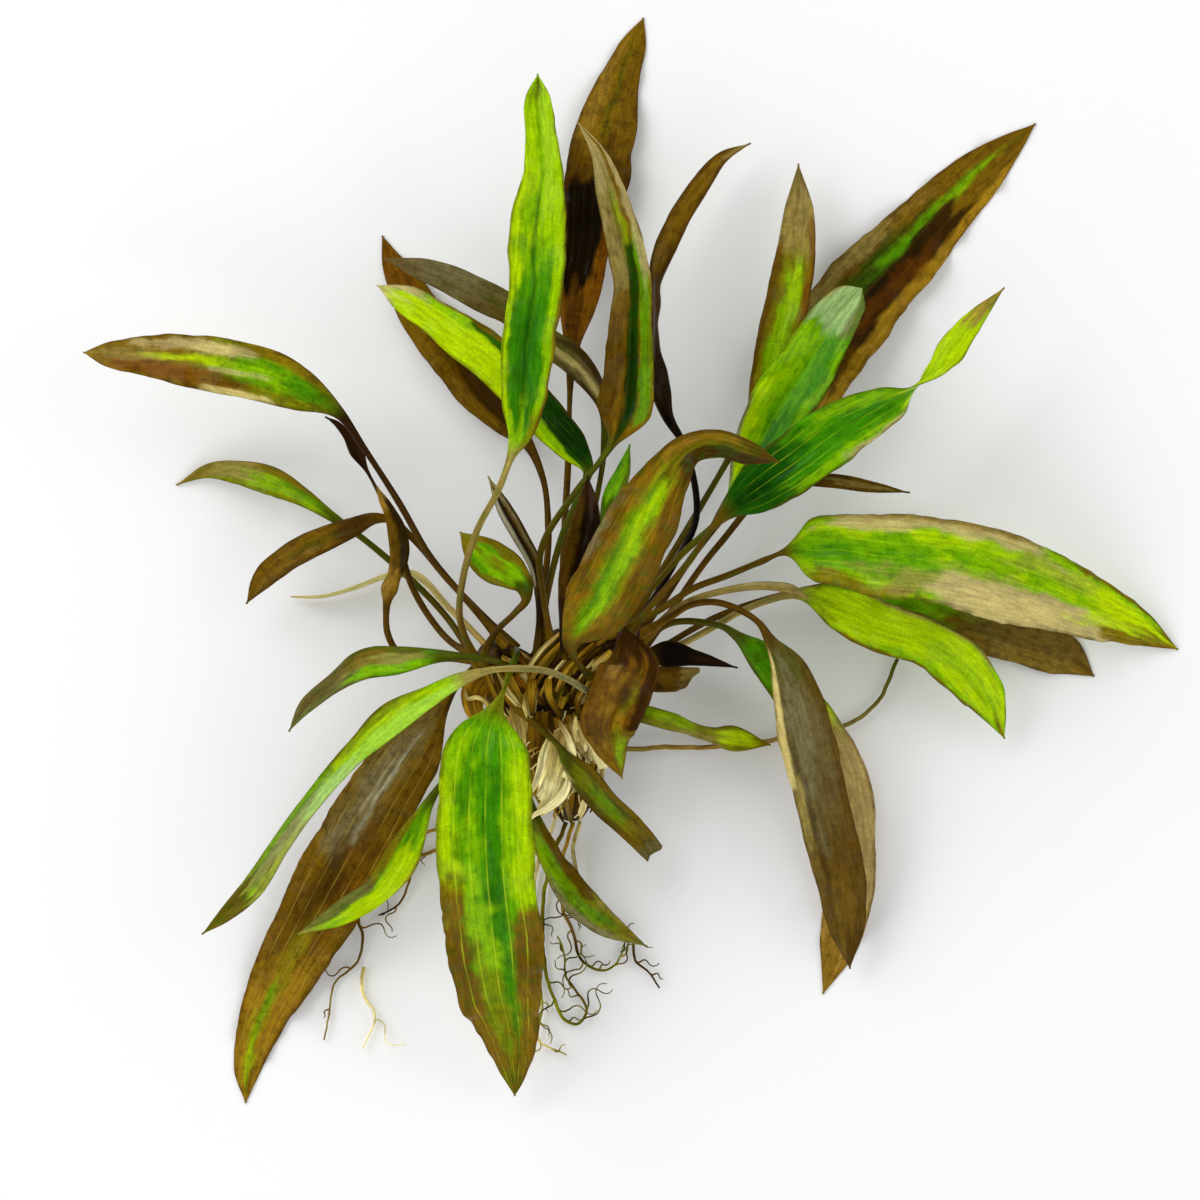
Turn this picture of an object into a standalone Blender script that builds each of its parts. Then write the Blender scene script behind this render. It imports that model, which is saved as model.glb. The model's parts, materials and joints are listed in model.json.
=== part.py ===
"""A bare-root cryptocoryne lying on a table: crown, roots, runner and leaves, each leaf one solid with its petiole.

Lengths in the tables are millimetres in the plant's own layout frame, seen from above: +X right, +Y towards the
leaf tips, z the height above the table. Each leaf is a loft of elliptical sections, one at every row of its table.
"""

import math

import bmesh
import bpy
import numpy as np

MM = 0.001

# The middle of the spread, so that the finished plant stands centred on the origin.
SPREAD_CENTRE = np.array([8.3, 10.1, 0.0])

PETIOLE_DIAMETER = 1.7
# Petioles are thicker where they leave the crown, and so are the stubs of old ones.
FOOT_DIAMETER = 2.2
BLADE_THICKNESS = 1.0
# Where the petiole's thickness runs out into the blade, in rows after the blade's first.
THICK_BASE_ROWS = 1.5
TIP_WIDTH = 0.7
SECTION_POINTS = 8

ROOT_DIAMETER = 1.1
RUNNER_DIAMETER = 1.3
TUBE_SPACING = 6.0
# The thinnest part of a tube's tip, as a share of its full radius.
TUBE_TIP = 0.5

CROWN_POINTS = 12
CROWN_LUMP = 0.06

GREEN = (0.20, 0.45, 0.03, 1.0)
OLIVE = (0.24, 0.26, 0.06, 1.0)
BROWN = (0.20, 0.11, 0.02, 1.0)
DARK_BROWN = (0.05, 0.025, 0.01, 1.0)
OCHRE = (0.40, 0.27, 0.09, 1.0)
CREAM = (0.70, 0.60, 0.35, 1.0)

# A leaf is its colour, its V fold in degrees, the rows (x, y, z) of its petiole from the crown, and the rows
# (x, y, z, width) or (x, y, z, width, roll) of its blade. Roll is the turn about the leaf's own length in degrees:
# 0 faces up, 90 stands on edge.
LEAVES = {
    # The top fan.
    "leaf_tall_green": (GREEN, 14,
        [(-31, -15, 32.9), (-35, -4, 38), (-34, 6, 41), (-30.5, 17.5, 43), (-25, 28, 45)],
        [(-22, 36, 46, 2.4), (-20, 41, 47, 6), (-19, 49.5, 49, 11), (-18, 63, 51, 13), (-16, 76, 53, 13.5),
         (-15.5, 87, 54, 14.3), (-15, 96.5, 54, 13), (-14, 104, 53, 10.3), (-14.5, 115, 50, 8),
         (-15.5, 125, 46, 6), (-15.5, 131, 43, 0)]),
    "leaf_top_folded": (OLIVE, 32,
        [(-11.8, -12.2, 29.5), (-14, 0, 31), (-15, 11, 32), (-6, 27, 33), (1, 36, 34)],
        [(3, 39, 35, 2.4), (6, 47.5, 36, 14), (7, 55.5, 37, 12.8), (7.6, 70, 38, 10.5), (8, 79, 38, 9.5),
         (6.4, 88, 37, 9.3), (4.8, 94, 36, 8.5), (2.6, 102, 34, 7.3), (-0.6, 112, 31, 3.6), (-5.5, 119.5, 28, 0)]),
    "leaf_top_twisted": (BROWN, 0,
        [(9.4, -6.2, 26.2), (18, 8, 25), (24, 20, 24), (23, 32.5, 23), (21, 39, 22)],
        [(17, 46, 21, 3, 0), (15, 54, 20, 6, 30), (14, 62.5, 19, 6, 65), (14, 72.5, 18, 6, 70),
         (14, 79, 18, 6, 60), (16, 87.5, 18, 6, 25), (20, 96, 17, 5.5, 0), (25, 104, 15, 5, 0),
         (30.5, 111, 13, 3.2, 0), (38, 115, 10, 0, 0)]),
    "leaf_top_back": (DARK_BROWN, 0,
        [(-9, -16, 13.2), (-9.5, -3, 13), (-9, 16, 12), (-8, 35, 11), (-7.5, 54, 10)],
        [(-7, 64, 10, 4), (-5.5, 75, 9, 10), (-3, 90, 7, 11.5), (-1, 105, 5, 16), (2, 120, 3, 14.5),
         (6, 134, 0.9, 9), (9, 141.5, 0.3, 5.5), (11, 147, 0.3, 0)]),
    "leaf_top_taupe": (OLIVE, 8,
        [(-6.8, -8.2, 21.2), (-3, 15, 19), (1, 38, 18)],
        [(1, 48, 17, 3), (-5, 58.5, 17, 7), (-15, 66, 17, 7.3), (-23, 73, 16, 7.5), (-31, 77, 15, 8),
         (-39, 81, 14, 7), (-46, 83.5, 12, 5), (-54.5, 86, 10, 0)]),
    "leaf_top_bright": (GREEN, 10,
        [(-14.9, -9.1, 25), (-13, 2.5, 25), (-9.5, 16, 25), (-5, 27, 25)],
        [(-3, 32, 25, 2.6), (-7, 38.5, 26, 8), (-13, 45, 27, 10), (-20, 53, 28, 11), (-26, 59.5, 28, 11.5),
         (-34, 65.5, 27, 11), (-41, 70.5, 25, 9), (-49, 75.5, 23, 7), (-56, 79, 20, 0)]),
    "leaf_back_left": (BROWN, 0,
        [(-13.5, -16.3, 13.2), (-14.5, -4, 12), (-13, 17.5, 10), (-14.5, 31, 8)],
        [(-18, 39, 7, 3), (-24, 45.5, 6, 8), (-30, 52, 5, 11), (-37.5, 62, 4, 12), (-44, 70.5, 2.6, 11.5),
         (-49, 79, 1.4, 9), (-52.5, 85.5, 0.3, 5.5), (-55, 92, 0.3, 0)]),
    "leaf_inner_small": (GREEN, 18,
        [(0, -7, 28.8), (-1, 8, 29)],
        [(1, 19, 29, 2.4), (3, 26, 28.5, 4.6), (5.5, 31.5, 28, 4), (7.5, 39, 27, 0)]),
    "leaf_striped_folded": (OLIVE, 20,
        [(-15.6, -12.8, 27)],
        [(-15, 0, 28, 2.4), (-16, 8, 28, 3.6), (-20, 16, 28, 4), (-24.5, 24, 28, 3.6), (-28, 31, 27, 0)]),
    # The middle.
    "leaf_centre": (GREEN, 8,
        [(-2.5, -19, 29.5), (-4, -17.5, 36), (-6.5, -14, 44)],
        [(-7, -10, 52, 5), (-2, -3, 60, 16), (3, 5, 66, 18), (7.5, 14, 70, 18), (12, 22.5, 73, 17),
         (16.5, 30.5, 75, 12), (22, 37, 76, 8), (29, 38.5, 75, 7), (36, 36.5, 72, 6), (44.5, 34, 66, 0)]),
    "leaf_behind_centre": (DARK_BROWN, 10,
        [(-9, -14.3, 29.3), (-9.2, -11.5, 35)],
        [(-9, -6, 41, 2.4), (-7, 4, 44, 7), (-4.5, 14, 45, 8.5), (-3, 22.5, 44, 6), (-3, 31, 42, 0)]),
    "leaf_inner_left": (GREEN, 10,
        [(-28.8, -14.7, 34.3), (-28.2, -11.8, 36.7), (-26, -8, 37.5), (-21, -3, 38)],
        [(-18.5, 0, 38, 2.4), (-18.8, 3, 38, 4.5), (-22, 6.5, 38, 8.5), (-26, 9, 37.5, 10),
         (-30.5, 12.5, 36.5, 8), (-35, 17, 35, 0)]),
    # The right side.
    "leaf_right_upright": (OLIVE, 8,
        [(7.5, -7, 22.2), (13, 3, 21.5), (22, 18, 20), (32, 35, 18)],
        [(38, 46, 17.5, 3), (41, 54, 17, 7), (44, 64, 17, 10), (47, 75, 16, 11), (49, 86, 14, 10),
         (50, 97.5, 11, 7.5), (50, 110, 7, 0)]),
    "leaf_right_back": (BROWN, 0,
        [(6.7, -13.1, 17.3), (14, -3, 15), (24, 12, 12), (34, 24, 10)],
        [(40, 32.5, 9, 6), (47.2, 48, 8, 18.5), (55.2, 61, 7, 21.5), (65, 75, 5, 22), (76, 87, 3, 19.5),
         (88, 100, 0.3, 15.5), (99.5, 111, 0.3, 10), (110, 120.3, 0.3, 0)]),
    "leaf_right_round": (GREEN, 22,
        [(7.4, -4.2, 30.5), (20, 11, 29)],
        [(32, 22.5, 28, 2.8), (39, 37.5, 28, 12), (44.5, 47.5, 28, 15.5), (51, 57.5, 28, 15),
         (56.5, 66.5, 27.2, 13.4), (61, 73, 26.4, 10.6), (64, 76.4, 26, 6.6), (65.6, 78, 25.8, 0)]),
    "leaf_right_front": (GREEN, 8,
        [(7, -10.8, 34.9), (9.5, -5.5, 38), (14, 0, 38.5), (22.5, 10, 38.5), (28, 18, 39)],
        [(31, 21.5, 39.5, 4), (39, 27.5, 41, 12.5), (49, 34.5, 42.5, 15), (60, 42.5, 43, 14.5),
         (70, 48, 42.5, 11.5, 25), (76, 51.5, 42, 9.5, 60), (81, 55, 41, 8.5, 105), (86, 61, 39, 8, 145),
         (92, 68.5, 36, 6, 165), (101, 78, 31, 0, 175)]),
    "leaf_right_sliver": (BROWN, 6,
        [(8.6, -16, 17.8), (15, -7, 15), (30, 14, 14)],
        [(46, 29.5, 13.5, 2.2), (57.5, 30, 13, 3.6), (68, 28.5, 12, 3), (78, 27, 10, 0)]),
    "leaf_far_right": (GREEN, 8,
        [(3.5, -8, 35.5), (14, -3, 34), (23.5, 3, 33), (31.5, 6, 32.5), (40, 9.5, 32)],
        [(47, 12.2, 32, 3), (52, 12.5, 33, 13.5), (60, 12.5, 35, 18), (70, 11, 36, 21), (81, 10, 35, 21),
         (93, 8, 32, 22), (103, 5, 27, 22), (114, 1.5, 20.5, 19), (124.5, -2.5, 13, 15),
         (136.5, -7.5, 4.5, 8.5), (146, -12.5, 0.3, 0)]),
    "leaf_right_lower": (GREEN, 8,
        [(9.8, -15, 22), (20.5, -11, 21.5), (28, -7, 21), (35, -3, 20), (41, -0.5, 20)],
        [(50, 1.5, 20, 3), (61, -2, 21, 12), (71, -7, 21, 13), (81, -10, 20, 12), (90, -16, 17, 13.5),
         (97.5, -25, 12, 9.5), (102, -35, 6, 0)]),
    "leaf_right_low": (BROWN, 0,
        [(4, -18, 13.6), (12, -14, 10), (30, -4, 9)],
        [(52, 2, 8, 3), (65, 1, 7, 9), (80, -3, 6, 12.5), (96, -7, 4, 12.5), (109, -11.3, 2, 11.6),
         (117.3, -14, 0.7, 10.5), (124.8, -19.3, 0.3, 0)]),
    "leaf_right_strip": (OLIVE, 0,
        [(11.5, -9.5, 27.5), (20, -1.5, 27.5)],
        [(32, 2.5, 26.5, 1.8), (42.5, 3.5, 26, 2.2), (49, 2.3, 26, 2), (52, 0.5, 26, 0)]),
    "leaf_hanging_right": (OLIVE, 10,
        [(11, -8, 31), (18, -4, 30.5), (22, -1.5, 30), (28, -0.5, 29.5), (35, -2.5, 29), (40, -6, 28.5)],
        [(42.5, -10, 28, 3), (47, -17, 27, 9), (49.5, -25, 26, 12), (52, -36, 24, 14), (55, -47.5, 21, 13.3),
         (58, -60, 17, 13), (61, -72.5, 13, 12), (62, -82.5, 9.5, 9), (63, -93, 6, 0)]),
    "leaf_hanging_back": (OLIVE, 0,
        [(10.2, -10.3, 24), (19, -5.5, 24.5), (25, -5.5, 24.5), (31, -6.8, 23.5)],
        [(35, -9.5, 22, 3), (39.8, -13.5, 20, 7.5), (47.5, -22.5, 17, 10), (55, -34, 14, 13.5), (60, -47.5, 10, 16),
         (62.5, -62.5, 6.5, 14), (62.3, -76, 3, 12.5), (60, -88, 0.3, 9), (56.3, -99.5, 0.3, 0)]),
    # Below the crown.
    "leaf_dark_spear": (DARK_BROWN, 0,
        [(11, -14.8, 26.5)],
        [(13, -14, 26.8, 3.6), (16, -13.5, 27, 6.5), (24, -14.5, 26.5, 4), (34.5, -17, 25, 0)]),
    "leaf_torn": (OLIVE, 6,
        [(6.8, -22.4, 17.8)],
        [(9, -20.6, 16.8, 3), (13, -20, 16, 6), (18.5, -19.9, 15.5, 6.4), (24.2, -19.6, 15, 5)]),
    "leaf_short_hanging": (BROWN, 10,
        [(5.7, -4.2, 33.6), (5, -5, 39)],
        [(5.6, -8, 42.2, 3), (7.2, -12, 43.2, 8.5), (8, -16, 42.8, 13.5), (6.2, -20.5, 41, 15.2), (4.2, -25, 38.6, 15),
         (2.1, -31.5, 34.4, 14), (2.5, -35.5, 31.3, 9.8), (3.6, -39.3, 28.2, 6), (5.6, -44.8, 24, 0)]),
    "leaf_twisted_low": (OLIVE, 0,
        [(0, -28, 15)],
        [(10, -28.5, 14, 4.5, 0), (17.5, -30.5, 13, 5, 20), (25, -33, 12, 5, 50), (34, -35, 11, 6.5, 10),
         (43, -36.5, 9, 0, 0)]),
    "leaf_lower_middle": (OLIVE, 8,
        [(-19.5, -28, 25.5), (-14, -33, 26), (-10, -37, 25.5)],
        [(-8.5, -39.5, 25, 3.5), (-4, -44.5, 24, 7), (1, -51, 21, 7), (7.5, -57, 17, 6.5), (14, -64, 12, 5.5)]),
    "leaf_lower_twisted": (BROWN, 10,
        [(-17.7, -40, 14), (-18, -49, 14)],
        [(-16, -56, 14, 4, 30), (-12, -65, 13, 7, 25), (-7, -73, 12, 8.5, 15), (-0.5, -80, 9, 7.5, 0),
         (12, -87.5, 4, 0, 0)]),
    "leaf_front_long": (GREEN, 7,
        [(-21.4, -13, 30.8), (-21, -14, 38), (-22.5, -18, 43), (-24.5, -24, 46.5)],
        [(-25.3, -28, 48, 4), (-26, -32, 49, 10), (-27, -36, 50, 15.5), (-28, -43, 51, 22), (-28.5, -53, 51, 24),
         (-28, -69, 48, 24), (-27, -80, 43, 24.5), (-26, -89.5, 37, 24), (-25, -98, 30, 20.5),
         (-23, -107, 22, 15.5), (-22, -115, 15, 10), (-21.5, -121, 10, 4.5), (-21.5, -125, 7, 0)]),
    "leaf_long_brown": (BROWN, 0,
        [(-31.8, -17.8, 25), (-36, -21.5, 22)],
        [(-39.5, -27, 20, 3.5), (-46, -36.5, 17, 14), (-55, -50, 14, 19), (-63.5, -65, 11, 20),
         (-71.5, -79.5, 8, 19), (-79.5, -94, 4, 16), (-86.3, -108.5, 0.9, 11), (-89, -118.5, 0.3, 7),
         (-89.5, -127, 0.3, 0)]),
    "leaf_arching_pale": (GREEN, 15,
        [(4.5, -23, 26), (0.5, -24.5, 31), (-3.5, -22.5, 37), (-8.5, -19.5, 43), (-14, -17.5, 48.5), (-20, -17, 51.5),
         (-27.5, -17.5, 53)],
        [(-34, -19.5, 53, 3.5), (-42.5, -24, 52, 5.5), (-51, -29, 49, 8), (-61, -38, 45, 6), (-70, -48, 40, 4.8),
         (-79, -60, 34, 5), (-87.5, -72.5, 27, 5.5), (-94, -79, 22, 3.6), (-100, -84, 17, 0)]),
    "leaf_lower_bright": (GREEN, 8,
        [(-23, -30.8, 19.2), (-30, -37, 21), (-36, -42.5, 21.5), (-40, -46.5, 21.5)],
        [(-43, -51, 21.5, 2.8), (-47, -59, 21, 7), (-50.5, -66, 20.5, 9), (-56, -73, 19.5, 7), (-64, -78, 18, 6.5),
         (-76, -84, 16, 0)]),
    # The left side.
    "leaf_far_left": (BROWN, 12,
        [(-24.7, -10.3, 31.1), (-32.5, -1, 32), (-42.5, 11, 33), (-50, 24, 34), (-59, 38, 35)],
        [(-65, 46.5, 35, 3), (-75, 52.5, 36, 11), (-84, 56, 36, 13.5), (-92.5, 58, 35, 14), (-104, 60, 33, 13),
         (-115, 61, 30, 9.5), (-124, 61.5, 27, 5.5), (-129.5, 62, 24, 0)]),
    "leaf_small_dark": (DARK_BROWN, 5,
        [(-31, -14, 25), (-38, -10, 20), (-43, -4, 18), (-47, 3, 17.5), (-50, 12, 17.5), (-53, 21, 17.5)],
        [(-55.8, 27.3, 17.7, 1), (-58.6, 32.6, 18, 1.1), (-61.2, 37.4, 18, 3.6), (-63.6, 41.4, 18, 2.2),
         (-66, 44.2, 18, 1.6), (-69, 46, 18, 0)]),
    "leaf_hanging_left": (DARK_BROWN, 8,
        [(-31.7, -15, 28.4), (-36.5, -14.6, 26.5), (-44, -14.8, 24), (-50.5, -13.2, 22.5), (-53.2, -8.5, 22),
         (-53.6, -3, 21.8)],
        [(-53.4, -0.5, 22, 2.2), (-52.8, 2.6, 22.6, 4.2), (-51.6, 6, 23.6, 3.6), (-50.4, 9.8, 24.8, 4.5),
         (-50.3, 14, 25.6, 5), (-51, 18, 26, 4.6), (-52.6, 22, 26, 3.2), (-54.6, 25.6, 25.6, 2),
         (-55.8, 28.4, 25.2, 0)]),
    "leaf_left_olive": (GREEN, 8,
        [(-30.5, -17.2, 20.1), (-38, -5, 14), (-53, 10, 12), (-61, 16.5, 12)],
        [(-67.5, 21, 12, 2.6), (-75, 26, 11, 4.8), (-83, 30, 9, 7.5), (-91, 32, 6, 6), (-99, 32.5, 2.5, 3.6),
         (-107, 29, 0.3, 0)]),
    "leaf_left_brown": (BROWN, 8,
        [(-22.2, -10.9, 22.2), (-38, 5, 22), (-47, 15.5, 22), (-52, 20, 22.5)],
        [(-56, 20.5, 23, 2.8), (-62.5, 18, 23, 5.2), (-70, 15, 22, 6.4), (-77.5, 11, 20, 6.6),
         (-84.5, 5.5, 16, 5.5), (-89, -1, 11, 0)]),
    "leaf_left_thin": (GREEN, 0,
        [(-23.5, -16.8, 13.8), (-38, -2, 8)],
        [(-47.5, 6.5, 6, 2.4, 40), (-54, 6, 5, 3.5, 70), (-62.5, 3, 4, 3.5, 75), (-70, 1, 3, 3, 75),
         (-78, 1, 1.5, 0, 60)]),
    "leaf_middle_left": (GREEN, 8,
        [(-20.3, -17.3, 31), (-22.5, -16.5, 37), (-27, -15, 41), (-34, -14, 42)],
        [(-41, -14, 41, 3.6), (-50, -15, 39, 7), (-59, -16, 36, 7.5), (-66, -20.5, 32, 5), (-74, -27, 27, 3.5),
         (-78, -33, 23, 0)]),
}

# The crown's lengths of stem, grown together: rows (x, y, z, diameter) from the lower end to the upper one.
CROWN = {
    "rhizome": [(-7, -55, 6.5, 5), (-7, -50, 8.5, 11.5), (-7.5, -43, 10.5, 16), (-9, -35, 12.5, 18),
                (-11, -27, 15, 17), (-12, -21, 17, 12)],
    "left_shoot": [(-14, -27, 14, 11), (-18.5, -23.5, 18, 15), (-22.5, -19.5, 22, 14.5), (-25.5, -16, 26.5, 11.5),
                   (-27.5, -13.5, 30, 7), (-28, -12.8, 32, 4)],
    "middle_shoot": [(-11.5, -25, 15, 11), (-11.5, -19, 20, 13), (-10.5, -13.5, 23, 11), (-10, -9.5, 25.5, 7),
                     (-10, -8, 26.5, 4)],
    "right_shoot": [(-7, -25, 14, 11), (-3, -20.5, 18.5, 15), (1.5, -16, 22.5, 14.5), (5, -11.5, 27, 11.5),
                    (7, -8.5, 31, 7), (7.5, -7.5, 33.5, 4)],
}

# Stubs of old petioles, the runner and the main roots: rows (x, y, z) from the crown outwards.
STUBS = {
    "stub_left": [(-17, -20, 28.2), (-17.2, -24.5, 28.8), (-16.8, -29, 29)],
    "stub_middle": [(-13.2, -18.5, 27.9), (-12.5, -24.5, 27.6), (-9.5, -29.5, 26)],
    "stub_right": [(-6, -15.5, 28.6), (-5.7, -22, 27), (-5.5, -30, 24)],
}
RUNNER = [(-1.2, -37, 6.2), (12, -37.3, 3.5), (27, -37, 2.2), (42.5, -35.5, 1.6), (55, -33, 1.6), (61.5, -31.8, 1.6),
          (67, -28.5, 1.8), (71, -24.5, 2), (73, -20, 2), (75, -14.8, 2)]
ROOTS = {
    "root_centre_long": [(-8.6, -56.1, 5.8), (-12.5, -66, 2.5), (-14, -76, 1.5), (-14, -90, 1.2), (-12, -99, 1.2),
                         (-8.5, -106, 1.2), (-6, -107, 1.2), (-3.2, -103.5, 1.3), (-6, -99, 1.3), (-8.5, -95, 1.3),
                         (-9, -90, 1.3), (-11, -85, 1.3)],
    "root_centre_short": [(-6.8, -56.1, 6.6), (-9.7, -67, 2.2), (-9.5, -77, 1.4), (-6.5, -85, 1.2),
                          (-4.5, -91, 1.2), (1, -93.3, 1.2), (5, -91, 1.2), (6, -87, 1.2)],
    "root_centre_far": [(-5, -55.9, 6.8), (-6.5, -63, 3.5), (-4.5, -72, 1.6), (0, -79, 1.3), (7.5, -84.5, 1.2),
                        (9, -91.5, 1.2), (12.5, -94, 1.2), (15, -98, 1.2)],
    "root_cream": [(-10.7, -53.7, 5.2), (-16.5, -70, 1.5), (-17, -88, 1.2), (-14.5, -103, 1.2), (-15.5, -111, 1.2),
                   (-8.5, -115, 1.2)],
    "root_left_long": [(-12, -50.7, 5.2), (-25, -58, 2.2), (-38, -62, 1.4), (-49, -66, 1.2), (-57, -74, 1.2),
                       (-61, -80, 1.2), (-60, -86, 1.2), (-61, -91, 1.2), (-67, -97, 1.2), (-68.5, -105, 1.2),
                       (-70, -111, 1.2)],
    "root_left_fork": [(-59.6, -92.6, 1.2), (-60, -98.5, 1.2), (-57, -105, 1.2), (-60, -113, 1.2)],
    "root_left_curl": [(-13.6, -47.8, 6.2), (-28, -53, 2.2), (-40, -57, 1.4), (-46, -60, 2.8), (-47.5, -68, 3.2),
                       (-51, -77, 1.6), (-56, -79.5, 1.2)],
}


def slopes(rows):
    """The direction of travel at each row: the chord between its neighbours, weighted by how near each is."""
    steps = np.linalg.norm(np.diff(rows[:, :3], axis=0), axis=1)
    knots = np.concatenate([[0.0], np.cumsum(steps)])
    return knots, np.gradient(rows, knots, axis=0)


def sections(rows, half_widths, half_heights, fold_deg, rolls_deg, count):
    """One ring of points per row: an ellipse across the path, its sides raised into a V by the fold."""
    _, slope = slopes(rows)
    along = slope[:, :3] / np.linalg.norm(slope[:, :3], axis=1, keepdims=True)
    side = np.cross([0.0, 0.0, 1.0], along)
    side /= np.linalg.norm(side, axis=1, keepdims=True)
    up = np.cross(along, side)
    roll = np.radians(rolls_deg)[:, None]
    side, up = side * np.cos(roll) + up * np.sin(roll), up * np.cos(roll) - side * np.sin(roll)
    turn = np.arange(count) * 2 * math.pi / count
    across = half_widths[:, None] * np.cos(turn)
    raised = half_heights[:, None] * np.sin(turn) + np.abs(across) * math.tan(math.radians(fold_deg))
    return rows[:, None, :3] + across[..., None] * side[:, None, :] + raised[..., None] * up[:, None, :]


def loft(name, rings, colour, home):
    """A closed skin over the rings, flattened where it would sink into the table."""
    stations, count = rings.shape[:2]
    points = rings.reshape(-1, 3) - SPREAD_CENTRE
    points[:, 2] = np.maximum(points[:, 2], 0.0)
    first = np.arange((stations - 1) * count).reshape(stations - 1, count)
    following = np.roll(first, -1, axis=1)
    sides = np.stack([first, following, following + count, first + count], axis=-1).reshape(-1, 4)
    caps = [list(range(count))[::-1], list(range((stations - 1) * count, stations * count))]
    mesh = bpy.data.meshes.new(name)
    mesh.from_pydata((points * MM).tolist(), [], sides.tolist() + caps)
    solid = bmesh.new()
    solid.from_mesh(mesh)
    bmesh.ops.recalc_face_normals(solid, faces=solid.faces)
    bmesh.ops.triangulate(solid, faces=solid.faces)
    solid.to_mesh(mesh)
    solid.free()
    mesh.shade_smooth()
    mesh.set_sharp_from_angle(angle=math.radians(50))
    return add_object(name, mesh, colour, home)


def add_object(name, data, colour, home):
    piece = bpy.data.objects.new(name, data)
    material = bpy.data.materials.new(name)
    material.use_nodes = True
    shader = material.node_tree.nodes["Principled BSDF"]
    shader.inputs["Base Color"].default_value = colour
    shader.inputs["Roughness"].default_value = 0.35
    shader.inputs["Metallic"].default_value = 0.0
    data.materials.append(material)
    home.objects.link(piece)
    return piece


def make_leaf(name, colour, fold_deg, petiole, blade):
    """Round sections along the petiole, widening into the flat lens of the blade."""
    blade = np.array([tuple(row) + (0.0,) * (5 - len(row)) for row in blade])
    stalk = np.array([row + (PETIOLE_DIAMETER, blade[0, 4]) for row in petiole])
    stalk[0, 3] = FOOT_DIAMETER
    rows = np.vstack([stalk, blade])
    widths = np.maximum(rows[:, 3], TIP_WIDTH)
    past_base = np.clip((np.arange(len(rows)) - len(stalk)) / THICK_BASE_ROWS, 0.0, 1.0)
    heights = PETIOLE_DIAMETER + (BLADE_THICKNESS - PETIOLE_DIAMETER) * past_base
    heights[0] = FOOT_DIAMETER
    heights[-1] = min(TIP_WIDTH, heights[-1])
    rings = sections(rows, widths / 2, heights / 2, 0.0, rows[:, 4], SECTION_POINTS)
    folded = sections(rows, widths / 2, heights / 2, fold_deg, rows[:, 4], SECTION_POINTS)
    in_blade = past_base[:, None, None]
    return loft(name, rings * (1 - in_blade) + folded * in_blade, colour, plant)


def make_crown_stem(name, table, home):
    """A length of stem with the low lumps of old leaf scars round it."""
    rows = np.array(table, float)
    rings = sections(rows, rows[:, 3] / 2, rows[:, 3] / 2, 0.0, np.zeros(len(rows)), CROWN_POINTS)
    middle = rows[:, None, :3]
    turn = np.arange(CROWN_POINTS) * 2 * math.pi / CROWN_POINTS
    station = np.arange(len(rows))[:, None]
    lumps = 1 + CROWN_LUMP * np.sin(3 * turn + 1.9 * station)
    return loft(name, middle + (rings - middle) * lumps[..., None], OCHRE, home)


def make_crown():
    """The rhizome with its shoots joined to it."""
    crown = make_crown_stem("crown", CROWN["rhizome"], plant)
    for name in ("left_shoot", "middle_shoot", "right_shoot"):
        shoot = make_crown_stem(name, CROWN[name], joined_shapes)
        shoot.hide_render = True
        shoot.display_type = "WIRE"
        union = crown.modifiers.new(name, "BOOLEAN")
        union.operation = "UNION"
        union.solver = "EXACT"
        union.object = shoot


def make_tube(name, table, diameter, colour):
    """A root, stub or runner: a round tube on a smooth curve through its rows, thinner towards its tip."""
    rows = np.array(table, float)
    knots, slope = slopes(rows)
    at = np.linspace(0.0, knots[-1], max(3, round(knots[-1] / TUBE_SPACING) + 1))
    span = np.clip(np.searchsorted(knots, at, side="right") - 1, 0, len(knots) - 2)
    length = (knots[span + 1] - knots[span])[:, None]
    t = (at - knots[span])[:, None] / length
    path = (
        (2 * t**3 - 3 * t**2 + 1) * rows[span]
        + (t**3 - 2 * t**2 + t) * length * slope[span]
        + (3 * t**2 - 2 * t**3) * rows[span + 1]
        + (t**3 - t**2) * length * slope[span + 1]
    )
    curve = bpy.data.curves.new(name, "CURVE")
    curve.dimensions = "3D"
    curve.bevel_depth = diameter / 2 * MM
    curve.bevel_resolution = 1
    curve.use_fill_caps = True
    spline = curve.splines.new("POLY")
    spline.points.add(len(path) - 1)
    for point, place, share in zip(spline.points, path, np.linspace(1.0, TUBE_TIP, len(path))):
        point.co = (*((place - SPREAD_CENTRE) * MM), 1.0)
        point.radius = share
    return add_object(name, curve, colour, plant)


for old in list(bpy.data.objects):
    bpy.data.objects.remove(old)
plant = bpy.data.collections.new("cryptocoryne")
bpy.context.scene.collection.children.link(plant)
joined_shapes = bpy.data.collections.new("joined_shapes")
bpy.context.scene.collection.children.link(joined_shapes)

for leaf_name, (leaf_colour, leaf_fold, leaf_petiole, leaf_blade) in LEAVES.items():
    make_leaf(leaf_name, leaf_colour, leaf_fold, leaf_petiole, leaf_blade)
make_crown()
for stub_name, stub_rows in STUBS.items():
    make_tube(stub_name, stub_rows, FOOT_DIAMETER, OCHRE)
make_tube("runner", RUNNER, RUNNER_DIAMETER, OCHRE)
for root_name, root_rows in ROOTS.items():
    make_tube(root_name, root_rows, ROOT_DIAMETER, CREAM)
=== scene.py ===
"""A bare-root cryptocoryne lying on a white table, seen straight from above.

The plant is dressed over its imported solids: the crown and every leaf, stub, runner and root is a fine closed
surface on the same curve as its solid. The shape tables hold millimetres in the plant's layout frame, +X
right, +Y towards the leaf tips and z above the table. SPREAD_CENTRE takes them to the finished plant's frame.
"""

import json
import math

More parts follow.
